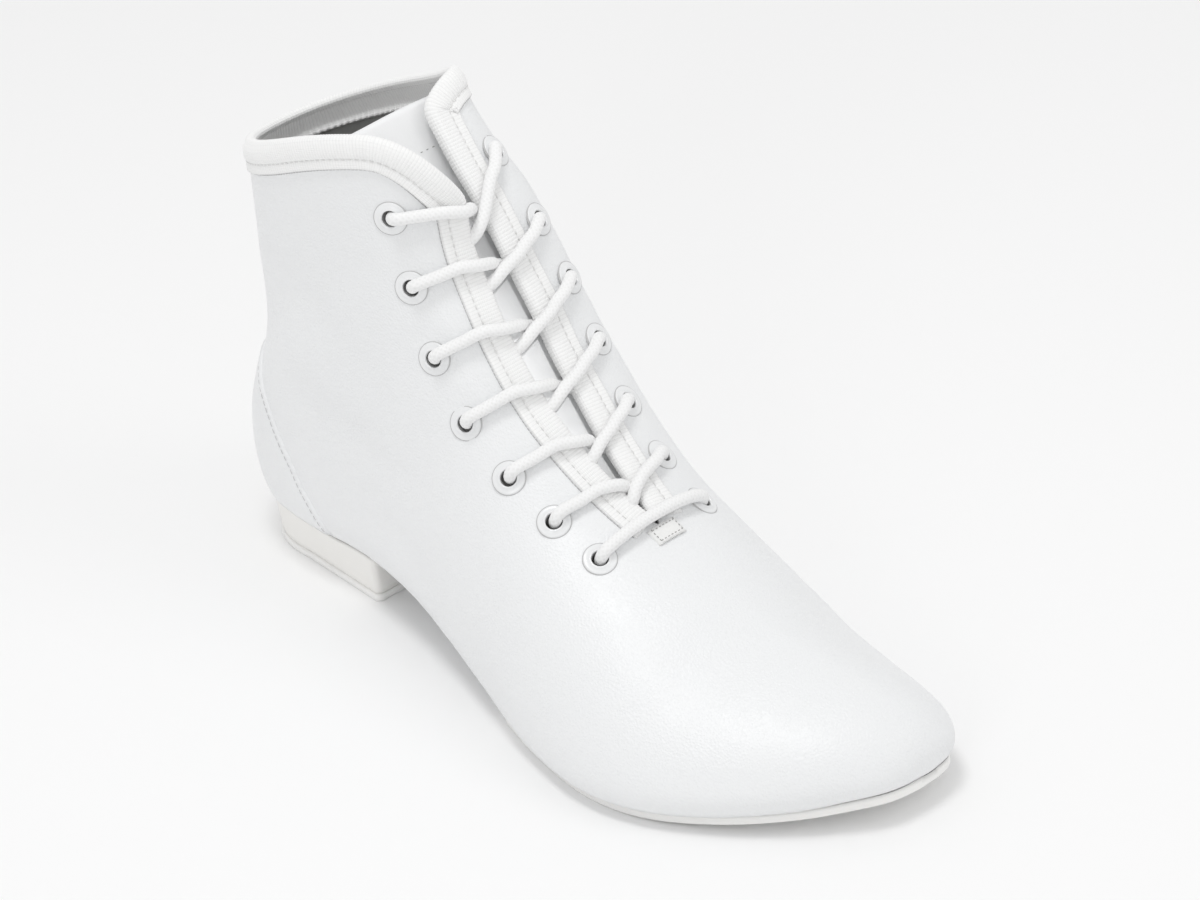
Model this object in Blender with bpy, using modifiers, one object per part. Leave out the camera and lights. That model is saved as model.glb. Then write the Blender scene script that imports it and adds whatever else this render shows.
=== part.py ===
"""Right boot of a split-sole dance pair: soft leather upper, forefoot sole and low heel.

The last is a fan of sections that runs from the toe tip to the collar. Each section is a plane
through a low point (under the foot, then up the back of the heel) and a top point (along the
vamp, then up the throat). Every piece is worked out from that one surface.
Frame while modelling: X from the back of the heel to the toe, Y towards the medial side, Z up.
"""

import math
from collections import namedtuple

import bmesh
import bpy
import numpy as np
from mathutils import Matrix, Vector

MM = 0.001
WELD = 0.001 * MM

# Driving sizes of the boot
LENGTH = 258 * MM
BALL_WIDTH = 100 * MM
COLLAR_HEIGHT = 150 * MM
TOE_SPRING = 8.0 * MM
TOE_SPRING_START = 0.715 * LENGTH

# Thicknesses and clearances
WALL = 1.6 * MM
GAP = 0.3 * MM
INSOLE_THICKNESS = 1.8 * MM
COUNTER_THICKNESS = 0.7 * MM
TAPE_THICKNESS = 0.7 * MM
TAPE_GAP = 0.45 * MM
TAPE_WIDTH = 8.0 * MM
TONGUE_THICKNESS = 1.5 * MM
LIFT_THICKNESS = 2.2 * MM

# The last: x in percent of LENGTH, z in percent of COLLAR_HEIGHT, lateral, medial, mid and
# stagger in percent of BALL_WIDTH. belly is how far up the section it is widest, and the rounds
# are superellipse powers below it and above it on either side. stagger sets the lateral throat
# edge ahead of the medial one.
Section = namedtuple(
    "Section",
    "low_x low_z top_x top_z lateral medial mid belly low_round lateral_round medial_round stagger",
)
SECTIONS = (
    Section(100.0, 8.0, 100.0, 8.0, 0.0, 0.0, 6.0, 0.50, 2.0, 2.0, 2.0, 0),
    Section(99.0, 6.6, 99.4, 12.6, 15.0, 11.0, 6.0, 0.40, 2.5, 2.0, 2.0, 0),
    Section(96.1, 5.4, 96.9, 17.0, 26.5, 18.0, 6.0, 0.30, 3.5, 1.8, 1.8, 0),
    Section(91.9, 4.0, 92.6, 20.0, 37.5, 24.0, 5.0, 0.25, 5.0, 1.7, 1.65, 0),
    Section(85.7, 2.6, 86.4, 22.3, 48.5, 30.5, 3.0, 0.22, 5.5, 1.65, 1.6, 0),
    Section(78.3, 1.8, 79.1, 24.7, 56.5, 37.0, 1.0, 0.20, 6.0, 1.7, 1.62, 0),
    Section(70.5, 1.5, 72.1, 29.3, 58.5, 41.5, 0.0, 0.18, 6.0, 1.85, 1.8, 0),
    Section(61.2, 1.5, 64.7, 34.3, 54.5, 42.0, 0.0, 0.20, 5.5, 2.0, 2.1, 0),
    Section(51.9, 1.8, 58.1, 40.0, 47.5, 39.0, 0.0, 0.25, 4.5, 2.2, 2.6, 0),
    Section(42.6, 4.0, 53.1, 46.0, 41.0, 38.0, 0.0, 0.26, 4.0, 2.4, 3.2, 0),
    Section(33.3, 6.7, 48.8, 52.7, 36.0, 37.0, 0.0, 0.29, 4.0, 2.6, 4.0, 0),
    Section(24.0, 8.5, 45.3, 59.3, 32.5, 35.0, 0.0, 0.33, 5.0, 2.8, 5.2, 0),
    Section(14.0, 8.7, 42.4, 66.7, 31.5, 34.5, 0.0, 0.35, 6.0, 3.0, 5.6, 0),
    Section(4.7, 9.7, 39.7, 74.0, 31.0, 34.5, 0.0, 0.40, 4.0, 3.0, 5.6, 0),
    Section(0.0, 24.7, 37.4, 80.7, 30.5, 34.0, 0.0, 0.42, 2.3, 3.0, 5.2, 0),
    Section(3.0, 45.3, 35.5, 87.3, 28.5, 33.5, 0.0, 0.45, 2.1, 3.0, 4.0, 2),
    Section(3.2, 64.5, 33.5, 93.3, 28.5, 30.5, 0.0, 0.47, 2.1, 3.0, 3.4, 6.5),
    Section(3.3, 78.2, 31.9, 99.8, 28.5, 27.5, 0.0, 0.48, 2.1, 2.9, 3.0, 12.5),
    Section(3.4, 87.4, 30.6, 107.3, 28.5, 25.5, 0.0, 0.48, 2.1, 2.8, 2.8, 18),
)
STAGGER_FALL = 0.5
COLLAR_ROW = len(SECTIONS) - 1
HEEL_SEAT_ROW = 13
ARCH_ROW = 9
COLUMN_SIZES = dict(
    low_x=LENGTH,
    top_x=LENGTH,
    low_z=COLLAR_HEIGHT,
    top_z=COLLAR_HEIGHT,
    lateral=BALL_WIDTH,
    medial=BALL_WIDTH,
    mid=BALL_WIDTH,
    stagger=BALL_WIDTH,
)

# Half width of the throat's opening, in mm, at rows of the last
ThroatGap = namedtuple("ThroatGap", "row half_gap")
THROAT_GAPS = (
    ThroatGap(7.3, 0.0),
    ThroatGap(7.5, 2.2),
    ThroatGap(8.5, 4.2),
    ThroatGap(10.0, 6.4),
    ThroatGap(12.0, 7.0),
    ThroatGap(14.0, 5.6),
    ThroatGap(15.5, 4.4),
    ThroatGap(18.0, 5.0),
)
THROAT_ROW = THROAT_GAPS[0].row
COLLAR_CORNER = 28 * MM
COLLAR_DROP = 17 * MM

# Grid of the upper: angles round the bottom, steps from the widest line to the tape
LOW_ANGLES = np.radians((0, 24, 44, 60, 75))
SIDE_STEPS = 5
COMMON_ROWS = (
    (0, 0.35, 0.7, 1, 1.5, 2, 2.5, 3, 3.5, 4, 4.5, 5, 5.5, 6, 6.5, 7)
    + (THROAT_ROW, 7.5, 8, 8.5, 9, 9.5, 10, 10.5, 11, 11.5, 12, 12.5, 13, 13.5)
)
SHAFT_STEPS = 5
TOE_BAND_SHARE = 0.3
SAMPLES = 90
ROW_STEP = 0.25

# Eyelet pairs from the top down: row of the last, and mm back from the throat's edges
EyeletPair = namedtuple("EyeletPair", "row lateral medial")
EYELET_PAIRS = (
    EyeletPair(15.80, 21.0, 15.0),
    EyeletPair(13.95, 20.5, 16.0),
    EyeletPair(12.40, 22.5, 16.5),
    EyeletPair(10.95, 22.5, 16.0),
    EyeletPair(9.55, 21.0, 14.5),
    EyeletPair(8.38, 20.0, 15.5),
    EyeletPair(7.42, 20.0, 19.0),
)
EYELET_FLANGE = 4.8 * MM
EYELET_BARREL = 3.0 * MM
EYELET_BORE = 2.45 * MM
EYELET_RISE = 1.1 * MM
EYELET_SIDES = 8
HOLE_DEPTH = 12 * MM

# Forefoot sole
SOLE_EDGE_ANGLE = math.radians(52)
SOLE_REAR = 128 * MM
SOLE_REAR_ROUND = 14 * MM
SOLE_REAR_REACH = 0.35
SOLE_REAR_STEPS = 6
SOLE_STEPS = 17
SOLE_SKIVE = 1.2 * MM
SOLE_FRONT = LENGTH - 0.6 * MM
SOLE_LIP = 0.4 * MM
SOLE_LIP_HEIGHT = 1.1 * MM
SOLE_BLANK = 9 * MM
FORE_WINDOW = (140 * MM, 240 * MM)
FORE_WINDOW_REACH = 0.72
FORE_WINDOW_STEPS = 14
FORE_WINDOW_TOP = 13 * MM

# Heel
HEEL_BACK = 7.5 * MM
HEEL_BREAST = 66.5 * MM
HEEL_ROUND_MIDDLE = 33 * MM
HEEL_MIDDLE_Y = 0.7 * MM
HEEL_HALF_WIDTH = 25.7 * MM
HEEL_BREAST_HALF = 28.2 * MM
HEEL_SPREAD = 2.5 * MM
HEEL_ROUND = 2.8
HEEL_STEPS = 13
HEEL_LIP = 0.5 * MM
HEEL_BLANK = 18.2 * MM
HEEL_WINDOW_INSET = 9 * MM
HEEL_WINDOW_TOP = 22 * MM

INSOLE_REAR = 4 * MM
INSOLE_FRONT = 252 * MM
INSOLE_STEPS = 24

# Side view of the counter's seam, in mm from the back and the floor
COUNTER_SEAM = ((-20, 67), (12, 67), (19, 64), (26, 56), (33, 44), (41, 31), (51, 18.5))

# Tongue and throat tab, in rows of the last
TONGUE_STEPS = 16
TONGUE_COLUMNS = 9

# The tongue at rows of the last, in mm: half width, depth of its face below the last in the
# middle and at the sides, and rise. It is close where it is sewn under the vamp, then deep
# enough for the lace to pass between it and the flaps, and leans back at the top
TongueRow = namedtuple("TongueRow", "row half depth side_depth rise")
TONGUE_TABLE = (
    TongueRow(6.50, 18.0, 2.5, 2.5, 0.0),
    TongueRow(7.24, 18.0, 3.2, 3.2, 0.0),
    TongueRow(7.98, 18.0, 6.8, 6.8, 0.0),
    TongueRow(13.0, 18.0, 6.8, 6.8, 0.0),
    TongueRow(14.5, 19.0, 7.7, 6.5, 0.2),
    TongueRow(16.3, 19.5, 10.5, 5.8, 1.2),
    TongueRow(17.6, 23.0, 15.4, 9.5, 1.8),
)
TAB_ROWS = (7.05, 7.28)
TAB_HALF = 5.2 * MM
TAB_STEPS = 3
TAB_COLUMNS = 5

LACE_RADIUS = 1.7 * MM
LACE_LIFT = 0.9 * MM
BAR_LIFT = 0.2 * MM
LACE_STEPS = 4
LACE_TURN = 0.7
LACE_CROSSING_AT = 0.4
LACE_CROSSING_LIFT = 1.6 * MM

LATERAL = -1
MEDIAL = 1


def section_at(row):
    """The last's section at a row, between the table's rows by a smooth curve."""
    table = np.array(SECTIONS, float)
    row = min(max(row, 0), COLLAR_ROW)
    first = min(int(row), COLLAR_ROW - 1)
    t = row - first
    before = table[max(first - 1, 0)]
    start, end = table[first], table[first + 1]
    after = table[min(first + 2, COLLAR_ROW)]
    slope_start = (end - before) / (2 if first > 0 else 1)
    slope_end = (after - start) / (2 if first + 2 <= COLLAR_ROW else 1)
    t2, t3 = t * t, t * t * t
    mixed = (
        (2 * t3 - 3 * t2 + 1) * start
        + (t3 - 2 * t2 + t) * slope_start
        + (3 * t2 - 2 * t3) * end
        + (t3 - t2) * slope_end
    )
    values = Section(*mixed)._asdict()
    for name, size in COLUMN_SIZES.items():
        values[name] *= size / 100
    return Section(**values)


def side_shape(section, side):
    """Half width and upper round of one side of a section."""
    if side == LATERAL:
        return max(section.lateral, 0), section.lateral_round
    return max(section.medial, 0), section.medial_round


def section_points(section, side, angles):
    """Points on one side of a section: angle 0 is the low point, a half turn the top."""
    angles = np.asarray(angles, float)
    half, top_round = side_shape(section, side)
    low = angles <= math.pi / 2
    power = 2 / np.where(low, section.low_round, top_round)
    sine = np.clip(np.sin(angles), 0, 1) ** power
    cosine = np.clip(np.abs(np.cos(angles)), 0, 1) ** power
    up = np.where(low, section.belly * (1 - cosine), section.belly + (1 - section.belly) * cosine)
    fore = np.clip((angles - math.pi / 2) / (math.pi / 2), 0, 1) ** 2
    shift = -side * section.stagger * fore
    x = section.low_x + (section.top_x - section.low_x) * up + shift
    z = section.low_z + (section.top_z - section.low_z) * up - STAGGER_FALL * shift
    y = section.mid + side * half * sine
    return np.stack([x, y, z], axis=-1)


def half_gap_at(row):
    rows = [gap.row for gap in THROAT_GAPS]
    return np.interp(row, rows, [gap.half_gap * MM for gap in THROAT_GAPS])


def top_angle(section, side, row):
    """Angle at which a section stops: the ridge, or the edge of the open throat."""
    half, top_round = side_shape(section, side)
    gap = half_gap_at(row)
    if gap == 0 or half == 0:
        return math.pi
    return math.pi - math.asin((gap / half) ** (top_round / 2))


def running_length(points):
    return np.concatenate([[0], np.cumsum(np.linalg.norm(np.diff(points, axis=0), axis=1))])


def angle_from_edge(row, side, distance):
    """Angle of the point that lies a distance down the surface from the throat's edge."""
    section = section_at(row)
    dense = np.linspace(top_angle(section, side, row), math.pi / 4, SAMPLES)
    return np.interp(distance, running_length(section_points(section, side, dense)), dense)


def side_angles(row, side):
    """The angles of the grid on one side of a row, from the low point to the throat's edge."""
    section = section_at(row)
    dense = np.linspace(math.pi / 2, top_angle(section, side, row), SAMPLES)
    run = running_length(section_points(section, side, dense))
    band = min(TAPE_WIDTH, TOE_BAND_SHARE * run[-1])
    stops = list(np.linspace(0, run[-1] - band, SIDE_STEPS + 1))
    stops += [run[-1] - band / 2, run[-1]]
    return np.concatenate([LOW_ANGLES, np.interp(stops, run, dense)])


def side_points(row, side):
    return section_points(section_at(row), side, side_angles(row, side))


def row_points(row):
    """One row of the grid, from the lateral throat edge under the foot to the medial edge."""
    lateral = side_points(row, LATERAL)
    medial = side_points(row, MEDIAL)
    return np.concatenate([lateral[::-1], medial[1:]])


def surface_point(row, side, distance):
    """A point of the surface by its row and its distance from the throat's edge."""
    return section_points(section_at(row), side, [angle_from_edge(row, side, distance)])[0]


def surface_frame(row, side, distance):
    """A point of the surface with its outward normal."""
    step = 0.1
    reach = 1 * MM
    point = surface_point(row, side, distance)
    along = surface_point(row + step, side, distance) - surface_point(row - step, side, distance)
    down = surface_point(row, side, distance + reach) - surface_point(row, side, distance - reach)
    normal = np.cross(along, down) * -side
    return point, normal / np.linalg.norm(normal)


def collar_drop(distance):
    """How far the collar's edge lies below its line, near the rounded front corner."""
    return COLLAR_DROP * max(1 - distance / COLLAR_CORNER, 0) ** 2


def grid_points():
    """The outer surface of the upper as rows and columns of points."""
    common = [row_points(row) for row in COMMON_ROWS]
    fine_rows = np.linspace(COMMON_ROWS[-1], COLLAR_ROW, SAMPLES)
    fine = np.array([row_points(row) for row in fine_rows])
    edge = fine[-1]
    from_edge = running_length(edge)
    from_edge = np.minimum(from_edge, from_edge[-1] - from_edge)
    columns = []
    for column, distance in enumerate(from_edge):
        run = running_length(fine[:, column])
        end = run[-1] - collar_drop(distance)
        stops = list(np.linspace(0, end - TAPE_WIDTH, SHAFT_STEPS + 1)[1:])
        stops += [end - TAPE_WIDTH / 2, end]
        columns.append(
            np.stack([np.interp(stops, run, fine[:, column, axis]) for axis in range(3)], axis=-1)
        )
    shaft = np.swapaxes(np.array(columns), 0, 1)
    return np.concatenate([np.array(common), shaft])


GRID = grid_points()
ROW_COUNT, COLUMN_COUNT = GRID.shape[:2]
FIRST_OPEN_ROW = COMMON_ROWS.index(THROAT_ROW) + 1


def grid_index(row, column):
    """Vertex number in the upper's mesh: the tip is one point, and the vamp closes on itself."""
    if row == 0:
        return 0
    if row < FIRST_OPEN_ROW and column == COLUMN_COUNT - 1:
        column = 0
    return 1 + (row - 1) * COLUMN_COUNT + column


def grid_faces():
    """Triangles of the grid, split the same way for the upper and for every form."""
    faces = []
    for row in range(ROW_COUNT - 1):
        for column in range(COLUMN_COUNT - 1):
            near = grid_index(row, column)
            up = grid_index(row + 1, column)
            far = grid_index(row + 1, column + 1)
            across = grid_index(row, column + 1)
            faces.append([near, up, far])
            if row > 0:
                faces.append([near, far, across])
    return faces


def grid_vertices():
    return np.concatenate([GRID[:1, 0], GRID[1:].reshape(-1, 3)])


def grid_normals():
    """Outward normals of the grid's vertices, as rows and columns."""
    mesh = bpy.data.meshes.new("normals")
    mesh.from_pydata(grid_vertices().tolist(), [], grid_faces())
    flat = np.zeros(len(mesh.vertices) * 3)
    mesh.vertex_normals.foreach_get("vector", flat)
    bpy.data.meshes.remove(mesh)
    flat = flat.reshape(-1, 3)
    rows = range(ROW_COUNT)
    return np.array([[flat[grid_index(r, c)] for c in range(COLUMN_COUNT)] for r in rows])


def make_material(name, colour, roughness):
    """A surface with no bare metal: leather, tape, cloth, rubber, paint or cord."""
    material = bpy.data.materials.new(name)
    material.use_nodes = True
    shader = material.node_tree.nodes["Principled BSDF"]
    shader.inputs["Base Color"].default_value = (*colour, 1)
    shader.inputs["Roughness"].default_value = roughness
    shader.inputs["Metallic"].default_value = 0.0
    return material


def clear_scene():
    for obj in list(bpy.data.objects):
        bpy.data.objects.remove(obj, do_unlink=True)


def make_collection(name):
    collection = bpy.data.collections.new(name)
    bpy.context.scene.collection.children.link(collection)
    return collection


def add_mesh(name, collection, vertices, faces, material=None):
    """A mesh object with loose points dropped and faces turned outward by their order."""
    mesh = bpy.data.meshes.new(name)
    mesh.from_pydata([tuple(map(float, v)) for v in vertices], [], faces)
    builder = bmesh.new()
    builder.from_mesh(mesh)
    loose = [v for v in builder.verts if not v.link_faces]
    bmesh.ops.delete(builder, geom=loose, context="VERTS")
    builder.to_mesh(mesh)
    builder.free()
    obj = bpy.data.objects.new(name, mesh)
    collection.objects.link(obj)
    obj.parent = BOOT
    if material:
        mesh.materials.append(material)
    return obj


def as_cutter(obj):
    obj.hide_render = True
    obj.display_type = "WIRE"
    return obj


def cut(obj, cutter, operation="DIFFERENCE"):
    modifier = obj.modifiers.new(operation.title() + " " + cutter.name, "BOOLEAN")
    modifier.operation = operation
    modifier.solver = "EXACT"
    modifier.object = cutter


def add_form(name, offset):
    """Cutter: the closed form of the upper's outside, offset along its normals."""
    points = GRID + NORMALS * offset
    vertices = np.concatenate([points[:1, 0], points[1:].reshape(-1, 3)])
    faces = grid_faces()
    last = COLUMN_COUNT - 1
    for row in range(FIRST_OPEN_ROW - 1, ROW_COUNT - 1):
        corners = [
            grid_index(row, last),
            grid_index(row + 1, last),
            grid_index(row + 1, 0),
            grid_index(row, 0),
        ]
        faces.append(list(dict.fromkeys(corners)))
    faces.append([grid_index(ROW_COUNT - 1, column) for column in range(COLUMN_COUNT)])
    return as_cutter(add_mesh(name, CUTTERS, vertices, faces))


def add_loft(name, collection, rings, material=None):
    """A closed solid through rings of equal count, each running the same way round."""
    count = len(rings[0])
    vertices = np.concatenate(rings)
    faces = []
    for ring in range(len(rings) - 1):
        for k in range(count):
            after = (k + 1) % count
            base, above = ring * count, (ring + 1) * count
            faces.append([base + k, base + after, above + after, above + k])
    faces.append(list(range(count))[::-1])
    top = (len(rings) - 1) * count
    faces.append(list(range(top, top + count)))
    return add_mesh(name, collection, vertices, faces, material)


def floor_line(x):
    """Height of the sole's underside: flat, then rising to the toe."""
    rise = np.clip((x - TOE_SPRING_START) / (LENGTH - TOE_SPRING_START), 0, None)
    return TOE_SPRING * rise**2


def low_line(x):
    """Height of the upper's underside along its middle, from the toe to the heel seat."""
    sections = [section_at(row) for row in np.arange(HEEL_SEAT_ROW, -ROW_STEP, -ROW_STEP)]
    return np.interp(x, [s.low_x for s in sections], [s.low_z for s in sections])


def sole_half_widths(x):
    """Lateral and medial edges of the forefoot sole at a station x."""
    edges = []
    rows = np.arange(ARCH_ROW, -ROW_STEP, -ROW_STEP)
    for side in (LATERAL, MEDIAL):
        points = [section_points(section_at(r), side, [SOLE_EDGE_ANGLE])[0] for r in rows]
        edges.append(np.interp(x, [q[0] for q in points], [q[1] for q in points]))
    return edges


def sole_ring(x, reach, skive):
    """Cross-section of the forefoot sole's blank, with its bottom lip."""
    lip = SOLE_LIP
    lateral, medial = sole_half_widths(x)
    middle = (lateral + medial) / 2
    lateral = middle + (lateral - middle) * reach
    medial = middle + (medial - middle) * reach
    bottom = floor_line(x) + skive
    step = bottom + SOLE_LIP_HEIGHT
    top = bottom + SOLE_BLANK
    side = [(medial + lip, bottom), (medial + lip, step), (medial, step + lip), (medial, top)]
    other = [(lateral, top), (lateral, step + lip), (lateral - lip, step), (lateral - lip, bottom)]
    return [(x, y, z) for y, z in side + other]


def add_forefoot_sole():
    """Thin front sole: a rounded, thinned rear end, then the outline of the last to the toe."""
    rings = []
    for t in np.linspace(0, 1, SOLE_REAR_STEPS):
        reach = SOLE_REAR_REACH + (1 - SOLE_REAR_REACH) * math.sqrt(1 - (1 - t) ** 2)
        x = SOLE_REAR + t * SOLE_REAR_ROUND
        rings.append(sole_ring(x, reach, SOLE_SKIVE * (1 - t) ** 2))
    start = SOLE_REAR + SOLE_REAR_ROUND
    for t in np.sin(np.linspace(0, math.pi / 2, SOLE_STEPS)[1:]):
        rings.append(sole_ring(start + t * (SOLE_FRONT - start), 1, 0))
    sole = add_loft("forefoot_sole", PARTS, rings, SOLE_RUBBER)
    cut(sole, FORM_NEAR)


def heel_ring(z, grow, spread=0.0):
    """D-shaped outline of the heel: round back, sides that spread to a straight breast."""
    length = HEEL_ROUND_MIDDLE - HEEL_BACK + grow
    half = HEEL_HALF_WIDTH + grow + spread
    breast_half = HEEL_BREAST_HALF + grow + spread / 2
    points = []
    for t in np.linspace(-math.pi / 2, math.pi / 2, HEEL_STEPS):
        back = max(math.cos(t), 0) ** (2 / HEEL_ROUND)
        across = math.copysign(abs(math.sin(t)) ** (2 / HEEL_ROUND), t)
        points.append((HEEL_ROUND_MIDDLE - length * back, half * across))
    points.append((HEEL_BREAST + grow, breast_half))
    points.append((HEEL_BREAST + grow, -breast_half))
    return [(x, HEEL_MIDDLE_Y + y, z) for x, y in points[::-1]]


def add_heel():
    lift = [heel_ring(0, HEEL_LIP), heel_ring(LIFT_THICKNESS, HEEL_LIP)]
    add_loft("heel_lift", PARTS, lift, LIFT_RUBBER)
    block = [heel_ring(LIFT_THICKNESS + GAP, 0), heel_ring(HEEL_BLANK, 0, HEEL_SPREAD)]
    heel = add_loft("heel_block", PARTS, block, HEEL_RUBBER)
    cut(heel, FORM_NEAR)


def add_windows():
    """Cutters: the openings under the forefoot and the heel, inside the turned-in edges."""
    lateral, medial = [], []
    for t in np.linspace(-1, 1, FORE_WINDOW_STEPS):
        x = np.interp(t, (-1, 1), FORE_WINDOW)
        low, high = sole_half_widths(x)
        reach = FORE_WINDOW_REACH * math.sqrt(1 - t**4)
        middle = (low + high) / 2
        lateral.append((x, middle + (low - middle) * reach))
        medial.append((x, middle + (high - middle) * reach))
    outline = lateral + medial[-2:0:-1]
    rings = [[(x, y, z) for x, y in outline] for z in (0, FORE_WINDOW_TOP)]
    fore = as_cutter(add_loft("forefoot_window", CUTTERS, rings))
    rings = [heel_ring(z, -HEEL_WINDOW_INSET) for z in (0, HEEL_WINDOW_TOP)]
    return fore, as_cutter(add_loft("heel_window", CUTTERS, rings))


def eyelet_setback(pair, side):
    return (pair.lateral if side == LATERAL else pair.medial) * MM


def eyelet_places():
    """Side, number, point and outward normal of each eyelet."""
    for side in (LATERAL, MEDIAL):
        for number, pair in enumerate(EYELET_PAIRS, 1):
            point, normal = surface_frame(pair.row, side, eyelet_setback(pair, side))
            yield side, number, point, normal


def turn_to(obj, point, normal):
    """Stands an object on a point with its Z axis along a direction."""
    obj.location = point
    obj.rotation_euler = Vector(normal).to_track_quat("Z", "Y").to_euler()


def add_eyelets():
    """Turned eyelets, and the cutter that makes their holes in the upper."""
    barrel_end = -(WALL + 2 * GAP)
    profile = [
        (EYELET_BORE, EYELET_RISE),
        ((EYELET_BORE + EYELET_FLANGE) / 2, EYELET_RISE + GAP / 2),
        (EYELET_FLANGE, EYELET_RISE / 2),
        (EYELET_FLANGE, GAP),
        (EYELET_BARREL, GAP),
        (EYELET_BARREL, barrel_end),
        (EYELET_BORE, barrel_end),
    ]
    edges = [(k, (k + 1) % len(profile)) for k in range(len(profile))]
    holes = bmesh.new()
    for side, number, point, normal in eyelet_places():
        name = f"eyelet_{'lateral' if side == LATERAL else 'medial'}_{number}"
        mesh = bpy.data.meshes.new(name)
        mesh.from_pydata([(x, 0, z) for x, z in profile], edges, [])
        mesh.materials.append(EYELET_PAINT)
        eyelet = bpy.data.objects.new(name, mesh)
        PARTS.objects.link(eyelet)
        eyelet.parent = BOOT
        turn_to(eyelet, point, normal)
        turned = eyelet.modifiers.new("Turned", "SCREW")
        turned.steps = turned.render_steps = EYELET_SIDES
        turned.use_merge_vertices = True
        turned.merge_threshold = WELD
        turn = Vector(normal).to_track_quat("Z", "Y").to_matrix().to_4x4()
        bmesh.ops.create_cone(
            holes,
            cap_ends=True,
            segments=EYELET_SIDES,
            radius1=EYELET_BARREL + GAP,
            radius2=EYELET_BARREL + GAP,
            depth=HOLE_DEPTH,
            matrix=Matrix.Translation(point) @ turn,
        )
    mesh = bpy.data.meshes.new("eyelet_holes")
    holes.to_mesh(mesh)
    holes.free()
    cutter = bpy.data.objects.new("eyelet_holes", mesh)
    CUTTERS.objects.link(cutter)
    cutter.parent = BOOT
    return as_cutter(cutter)


def add_upper(holes):
    upper = add_mesh("upper", PARTS, grid_vertices(), grid_faces(), LEATHER)
    upper.data.shade_smooth()
    wall = upper.modifiers.new("Wall", "SOLIDIFY")
    wall.thickness = WALL
    wall.offset = -1
    for window in add_windows():
        cut(upper, window)
    cut(upper, holes)


def add_insole():
    """Sheet on the turned-in edges: the space inside the upper, up to a line over its bottom."""
    inside = add_form("inside_form", -(WALL + GAP))
    rings = []
    wide = BALL_WIDTH
    for x in np.linspace(INSOLE_REAR, INSOLE_FRONT, INSOLE_STEPS):
        top = low_line(x) + WALL + GAP + INSOLE_THICKNESS
        corners = ((wide, -GAP), (wide, top), (-wide, top), (-wide, -GAP))
        rings.append([(x, y, z) for y, z in corners])
    insole = add_loft("insole", PARTS, rings, INSOLE_CLOTH)
    cut(insole, inside, "INTERSECT")


def add_counter():
    """Overlay cut between two forms of the upper, behind the seam that runs down to the heel."""
    outline = [(x * MM, z * MM) for x, z in COUNTER_SEAM]
    outline.append((outline[0][0], outline[-1][1]))
    rings = [[(x, y, z) for x, z in outline] for y in (-BALL_WIDTH, BALL_WIDTH)]
    region = as_cutter(add_loft("counter_region", CUTTERS, rings))
    counter = add_form("heel_counter", GAP + COUNTER_THICKNESS)
    CUTTERS.objects.unlink(counter)
    PARTS.objects.link(counter)
    counter.hide_render = False
    counter.display_type = "TEXTURED"
    counter.data.materials.append(COUNTER_LEATHER)
    cut(counter, FORM_NEAR)
    cut(counter, region, "INTERSECT")


def tape_stations():
    """Grid places along the tape: at its edge, half way in and at its inner line."""
    top = ROW_COUNT - 1
    last = COLUMN_COUNT - 1
    stations = []
    for row in range(FIRST_OPEN_ROW, top + 1):
        stations.append(((row, 0), (min(row, top - 1), 1), (min(row, top - 2), 2)))
    for column in range(1, last):
        near = min(max(column, 1), last - 1)
        far = min(max(column, 2), last - 2)
        stations.append(((top, column), (top - 1, near), (top - 2, far)))
    for row in range(top, FIRST_OPEN_ROW - 1, -1):
        stations.append(
            ((row, last), (min(row, top - 1), last - 1), (min(row, top - 2), last - 2))
        )
    return stations


def tape_profile(edge, middle, inner):
    """Closed profile of the folded tape at one station, outside leg first."""
    over = TAPE_GAP + TAPE_THICKNESS
    under = WALL + TAPE_GAP
    deep = under + TAPE_THICKNESS

    def leg(offset):
        return [GRID[place] + NORMALS[place] * offset for place in (inner, middle, edge)]

    out = GRID[edge] - GRID[middle]
    out -= NORMALS[edge] * out.dot(NORMALS[edge])
    out /= np.linalg.norm(out)
    tip = GRID[edge] + out * over
    fold = GRID[edge] + out * TAPE_GAP
    outside = leg(over) + [tip + NORMALS[edge] * TAPE_GAP, tip - NORMALS[edge] * under]
    inside = leg(-deep)[::-1] + leg(-under)[:2] + [fold - NORMALS[edge] * under]
    return outside + inside + [fold + NORMALS[edge] * TAPE_GAP] + leg(TAPE_GAP)[:2][::-1]


def add_binding():
    rings = [tape_profile(*station) for station in tape_stations()]
    tape = add_loft("binding", PARTS, rings, TAPE)
    builder = bmesh.new()
    builder.from_mesh(tape.data)
    bmesh.ops.remove_doubles(builder, verts=builder.verts, dist=WELD)
    bmesh.ops.recalc_face_normals(builder, faces=builder.faces)
    builder.to_mesh(tape.data)
    builder.free()


def closed_patch(rows, halves, columns):
    """Points and normals of the last over its ridge, with no throat in it, out to half widths."""
    points = []
    for row, half in zip(rows, halves):
        section = section_at(row)._replace(stagger=0)
        line = []
        for distance in np.linspace(-half, half, columns):
            side = LATERAL if distance < 0 else MEDIAL
            dense = np.linspace(math.pi, math.pi / 3, SAMPLES)
            run = running_length(section_points(section, side, dense))
            angle = np.interp(abs(distance), run, dense)
            line.append(section_points(section, side, [angle])[0])
        points.append(line)
    points = np.array(points)
    along = np.gradient(points, axis=0)
    across = np.gradient(points, axis=1)
    normals = np.cross(across, along)
    normals /= np.linalg.norm(normals, axis=-1, keepdims=True)
    return points, normals


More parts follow.
